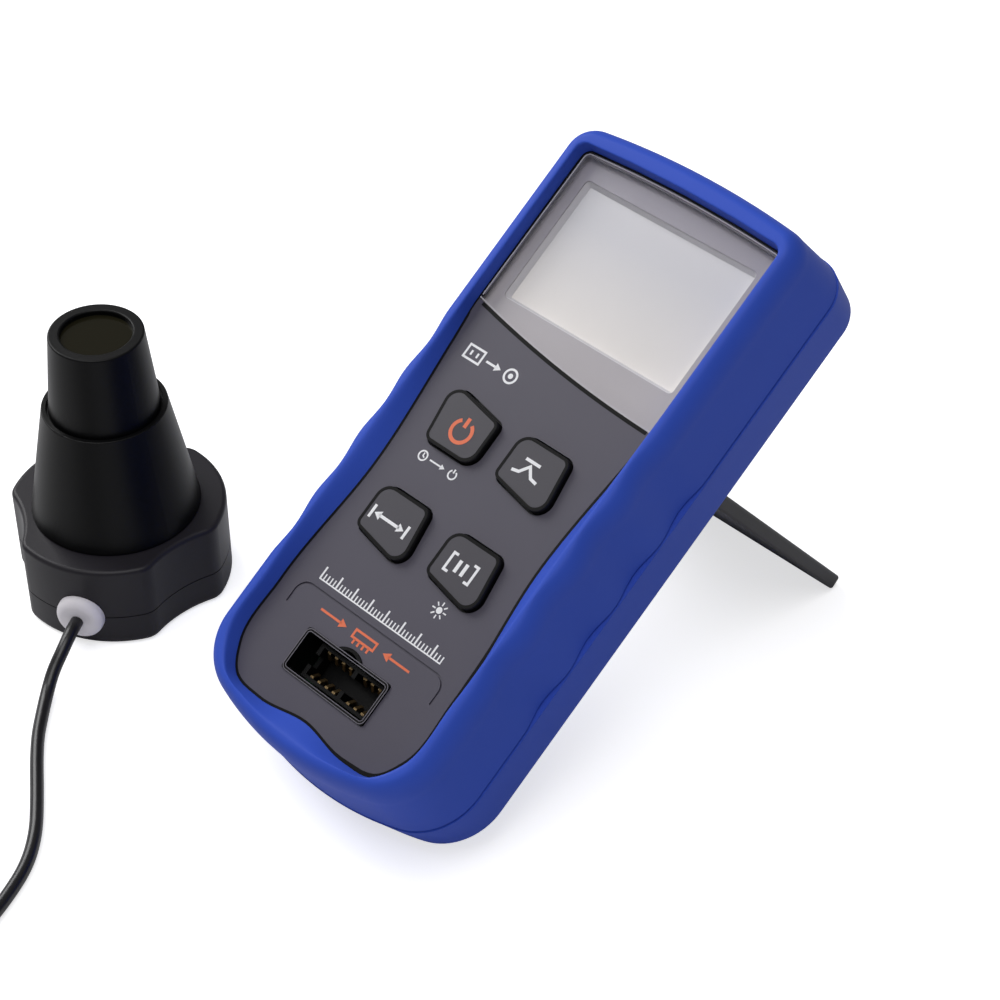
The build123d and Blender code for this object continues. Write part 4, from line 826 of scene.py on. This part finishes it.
# marks printed on the panel and the keys, and lines of painted shade and highlight: strokes of ink
# with mitred turns
inkSet = {
    "thickness": 0.05, "lift": 0.001, "keyTop": 1.7, "tipWidth": 0.05, "headOverlap": 0.4,
    "leastMitre": 0.5,  # sharper turns than this cosine reach no further out
}


# widths are one number, or one for each point
def ribbon(points, widths, height):
    points = [Vector(point) for point in points]
    if not isinstance(widths, tuple):
        widths = (widths,) * len(points)
    closed = (points[0] - points[-1]).length < 1e-6
    ways = [(two - one).normalized() for one, two in zip(points, points[1:])]
    ways = [ways[-1], *ways, ways[0]] if closed else [ways[0], *ways, ways[-1]]
    left, right = [], []
    for point, width, wayIn, wayOut in zip(points, widths, ways, ways[1:]):
        normal = Vector((-wayIn.y, wayIn.x))
        mitre = (normal + Vector((-wayOut.y, wayOut.x))).normalized()
        reach = width / 2 / max(inkSet["leastMitre"], mitre.dot(normal))
        left.append(point + mitre * reach)
        right.append(point - mitre * reach)
    top = height + inkSet["thickness"]
    return wrapGrid([
        [raised(spot, z) for spot in line]
        for line, z in ((left, height), (left, top), (right, top), (right, height), (left, height))
    ], closed=False, caps=not closed)


def drawMark(name, body, ink, height, strokes):
    made = [ribbon(points, widths, height + inkSet["lift"]) for points, widths in strokes]
    selectOnly(made[0])
    if len(made) > 1:
        for stroke in made[1:]:
            stroke.select_set(True)
        bpy.ops.object.join()
    settle(made[0], name, body, ink)


# what the marks are drawn from: points on circles, then strokes, most with their width
def onCircle(x, y, radius, angle):
    return x + radius * cos(radians(angle)), y + radius * sin(radians(angle))


def ring(x, y, radius, gap=0, steps=40):
    sweep = 360 - 2 * gap
    return [onCircle(x, y, radius, 90 + gap + sweep * step / steps) for step in range(steps + 1)]


def dot(x, y, radius):
    return ring(x, y, radius / 2, steps=20), radius


def sun(x, y, disc, inner, outer, width):
    rays = [
        ([onCircle(x, y, inner, angle), onCircle(x, y, outer, angle)], width)
        for angle in range(0, 360, 45)
    ]
    return [dot(x, y, disc), *rays]


def frameStroke(left, foot, right, top, width):
    return [(left, foot), (left, top), (right, top), (right, foot), (left, foot)], width


def bracket(end, back, top, foot, width):
    return [(end, top), (back, top), (back, foot), (end, foot)], width


def bars(places, foot, top, width):
    return [([(x, foot), (x, top)], width) for x in places]


def arrowHead(y, neck, tip, width):
    overlap = inkSet["headOverlap"] * (1 if tip < neck else -1)
    return [(neck + overlap, y), (tip, y)], (width, inkSet["tipWidth"])


def arrow(y, tail, neck, tip, width, headWidth):
    return [([(tail, y), (neck, y)], width), arrowHead(y, neck, tip, headWidth)]


# row of ticks on a base line, every fifth one long
scaleSet = {
    "start": -21.0, "pitch": 1.1, "count": 39, "every": 5, "foot": -46.4,
    "long": (-43.3, 0.5), "short": (-44.8, 0.36), "base": ((-21.21, -46.6), (21.01, -46.6)),
}


def scaleStrokes(scale):
    strokes = []
    for tick in range(scale["count"]):
        top, width = scale["short" if tick % scale["every"] else "long"]
        strokes += bars([scale["start"] + tick * scale["pitch"]], scale["foot"], top, width)
    return strokes + [(scale["base"], scale["short"][1])]


keyTop = inkSet["keyTop"]
marksSet = {
    "power_mark": ("power_button", "ink_orange", keyTop, [
        (ring(-11.6, 1.7, 2.95, gap=34), 1.0), *bars([-11.6], 2.8, 5.5, 1.05),
    ]),
    "peak_mark": ("peak_button", "ink_white", keyTop, [
        ([(6.3, 0.7), (8.4, 1.1), (10.35, 3.5), (12.3, 1.1), (14.4, 0.7)], 0.8),
        ([(8.0, 4.7), (12.7, 4.7)], 0.8),
    ]),
    "range_mark": ("range_button", "ink_white", keyTop, [
        *bars([-19.0, -7.4], -24.2, -27.8, 0.8),
        *arrow(-26.0, -16.6, -9.8, -8.2, 0.8, 2.4), arrowHead(-26.0, -16.6, -18.2, 2.4),
    ]),
    "hold_mark": ("hold_button", "ink_white", keyTop, [
        *bars([10.2, 12.3], -23.9, -27.2, 1.0),
        bracket(8.6, 7.2, -23.2, -27.9, 0.7), bracket(13.9, 15.3, -23.2, -27.9, 0.7),
    ]),
    "timer_mark": ("meter", "ink_white", 0, [
        (ring(-17.7, -8.05, 1.25), 0.42), ([(-17.7, -7.2), (-17.7, -8.05), (-17.1, -8.4)], 0.34),
        *arrow(-8.05, -15.3, -11.2, -10.3, 0.42, 1.5),
        (ring(-7.5, -8.15, 1.15, gap=34), 0.42), *bars([-7.5], -7.7, -6.6, 0.42),
    ]),
    "backlight_mark": ("meter", "ink_white", 0, sun(12.1, -36.5, 0.85, 1.25, 2.25, 0.36)),
    "reading_mark": ("meter", "ink_white", 0, [
        frameStroke(-25.6, 17.8, -20.4, 21.3, 0.58), *bars([-24.0, -22.0], 18.9, 20.2, 0.58),
        *arrow(19.55, -18.9, -15.4, -14.0, 0.6, 2.2),
        (ring(-10.6, 19.55, 1.8), 0.58), dot(-10.6, 19.55, 0.7),
    ]),
    "scale_mark": ("meter", "ink_white", 0, scaleStrokes(scaleSet)),
    "plug_mark": ("meter", "ink_orange", 0, [
        frameStroke(-3.6, -51.4, 3.6, -53.4, 0.6), *bars([-2.4, -0.8, 0.8, 2.4], -53.5, -54.8, 0.6),
        *arrow(-52.4, -15.4, -8.2, -6.4, 0.6, 2.4), *arrow(-52.4, 15.4, 8.2, 6.4, 0.6, 2.4),
    ]),
}


# closed line beside an outline
def lineBeside(outline, grow, width):
    line = [spot + normal * grow for spot, normal in outline]
    return line + line[:1], width


# painted shade: black line round the top of each key, for the shade of the gap round it
keySet = {
    "corners": ((-9.6, 8.5), (7.104, 8.5), (9.6, -8.5), (-9.6, -5.1)),
    "radii": (4.42, 2.89, 4.25, 2.55), "inset": 0.94, "line": 0.78,
    "places": {
        "power": (-12.946, 3.526, -1), "peak": (12.016, 1.806, 1),
        "range": (-11.978, -26.23, 1), "hold": (12.313, -26.23, 1),
    },
}
for keyName, (x, y, turn) in keySet["places"].items():
    keyCorners = [(x + turn * spotX, y + turn * spotY) for spotX, spotY in keySet["corners"]]
    keyShadeLine = lineBeside(
        roundedOutline(keyCorners, keySet["radii"]), -keySet["inset"], keySet["line"]
    )
    marksSet[keyName + "_key_shade_line"] = (keyName + "_button", "socket_black", keyTop, [keyShadeLine])

# painted highlights: thin grey lines along the socket frame's edges, inside and outside
socketSet = {
    "middle": (-0.6, -63.296), "well": (27.0, 10.2), "corner": 0.8,
    "edges": (0.05, 0.72), "line": 0.2, "height": 0.5,
}
(x, y), (wide, high) = socketSet["middle"], socketSet["well"]
socketLine = roundedFrame(
    x - wide / 2, y - high / 2, x + wide / 2, y + high / 2, socketSet["corner"]
)
for number, grow in enumerate(socketSet["edges"]):
    marksSet[f"socket_edge_{number}"] = (
        "meter", "painted_line_grey", socketSet["height"],
        [lineBeside(socketLine, grow, socketSet["line"])],
    )


# line inside the pane's edge, past the corners numbered
def paneEdge(inset, corners):
    return [spot - normal * inset for number in corners for spot, normal in paneGroups[number]]


# lines at the pane's edge: painted shade in the gap at its foot, a painted highlight along its
# edge, and inside that a thin grey line of painted shade (its print entry)
edgeSet = {
    "gap": {"out": 0.5, "line": 1.0},
    "glint": {"top": 1.35, "foot": 0.3, "line": 0.32},
    "print": {"in": 1.85, "line": 0.3},
}
topCount = paneSet["steps"] + 1
topCorners, footCorners = range(-1, topCount), range(topCount, 2 * topCount)
gap, glint, shadeLine = edgeSet["gap"], edgeSet["glint"], edgeSet["print"]
# painted shade: black line on the panel below the pane's foot
marksSet["pane_gap"] = ("meter", "socket_black", 0, [
    (paneEdge(-gap["out"], footCorners[1:-1]), gap["line"]),
])
marksSet["pane_glint"] = ("meter", "glint_pale", paneSet["rise"], [
    (paneEdge(glint["top"], topCorners), glint["line"]),
    (paneEdge(glint["foot"], footCorners), glint["line"]),
])
# painted shade: thin grey line inside the pane's painted highlight
marksSet["pane_line"] = ("meter", "painted_line_grey", paneSet["rise"], [
    (paneEdge(shadeLine["in"], topCorners), shadeLine["line"]),
])
for markName, mark in marksSet.items():
    drawMark(markName, *mark)
print("marks done", len(marksSet))

# studio: pale floor that glows to white further off, soft lights, white to the camera
studioSet = {
    "floor": {
        "size": 30.0, "colour": paint(238, 238, 240), "rough": 0.9,
        "glow": (0.66, 0.66, 0.66, 1), "fade": (0.45, 1.25),
    },
    "white": (1, 1, 1, 1), "ambient": 0.2, "aim": (0.07, 0.0, 0.05),
    "lights": (
        {"place": (-0.95, 0.0, 0.85), "size": 0.8, "power": 10.0},
        {"place": (0.2, -0.3, 1.4), "size": 1.0, "power": 9.0},
    ),
}
floorSet, white = studioSet["floor"], studioSet["white"]
deselectAll()
bpy.ops.mesh.primitive_plane_add(size=floorSet["size"])
floor = bpy.context.object
floor.name = "floor"
floorMaterial, lit = makeMaterial("floor_pale", {
    "Base Color": floorSet["colour"], "Roughness": floorSet["rough"],
})
floorSpot = lit.node("TexCoord", output="Object")
away = lit.node("VectorMath", {"operation": "LENGTH"}, {0: floorSpot}, output="Value")
glow = mixColour(lit, shareBetween(away, *floorSet["fade"]), floorSet["glow"], white)
glowing = lit.node("AddShader", {}, {
    0: lit, 1: lit.node("Emission", {}, {"Color": glow, "Strength": 1}),
})
toOutput(toCamera(lit, glowing))
floor.data.materials.append(floorMaterial)

world = bpy.data.worlds.new("studio")
bpy.context.scene.world = world
world.use_nodes = True
sky = Wire(world.node_tree)
ambient = sky.node("Background", {}, {"Color": white, "Strength": studioSet["ambient"]})
backdrop = sky.node("Background", {}, {"Color": white, "Strength": 1})
toOutput(toCamera(ambient, backdrop), "World Output")
for number, light in enumerate(studioSet["lights"]):
    aim = Vector(studioSet["aim"]) - Vector(light["place"])
    bpy.ops.object.light_add(
        type="AREA", location=light["place"], rotation=aim.to_track_quat("-Z", "Y").to_euler()
    )
    lamp = bpy.context.object
    lamp.name = f"softbox_{number}"
    lamp.data.energy = light["power"]
    lamp.data.size = light["size"]
print("studio done")

bpy.context.view_layer.update()
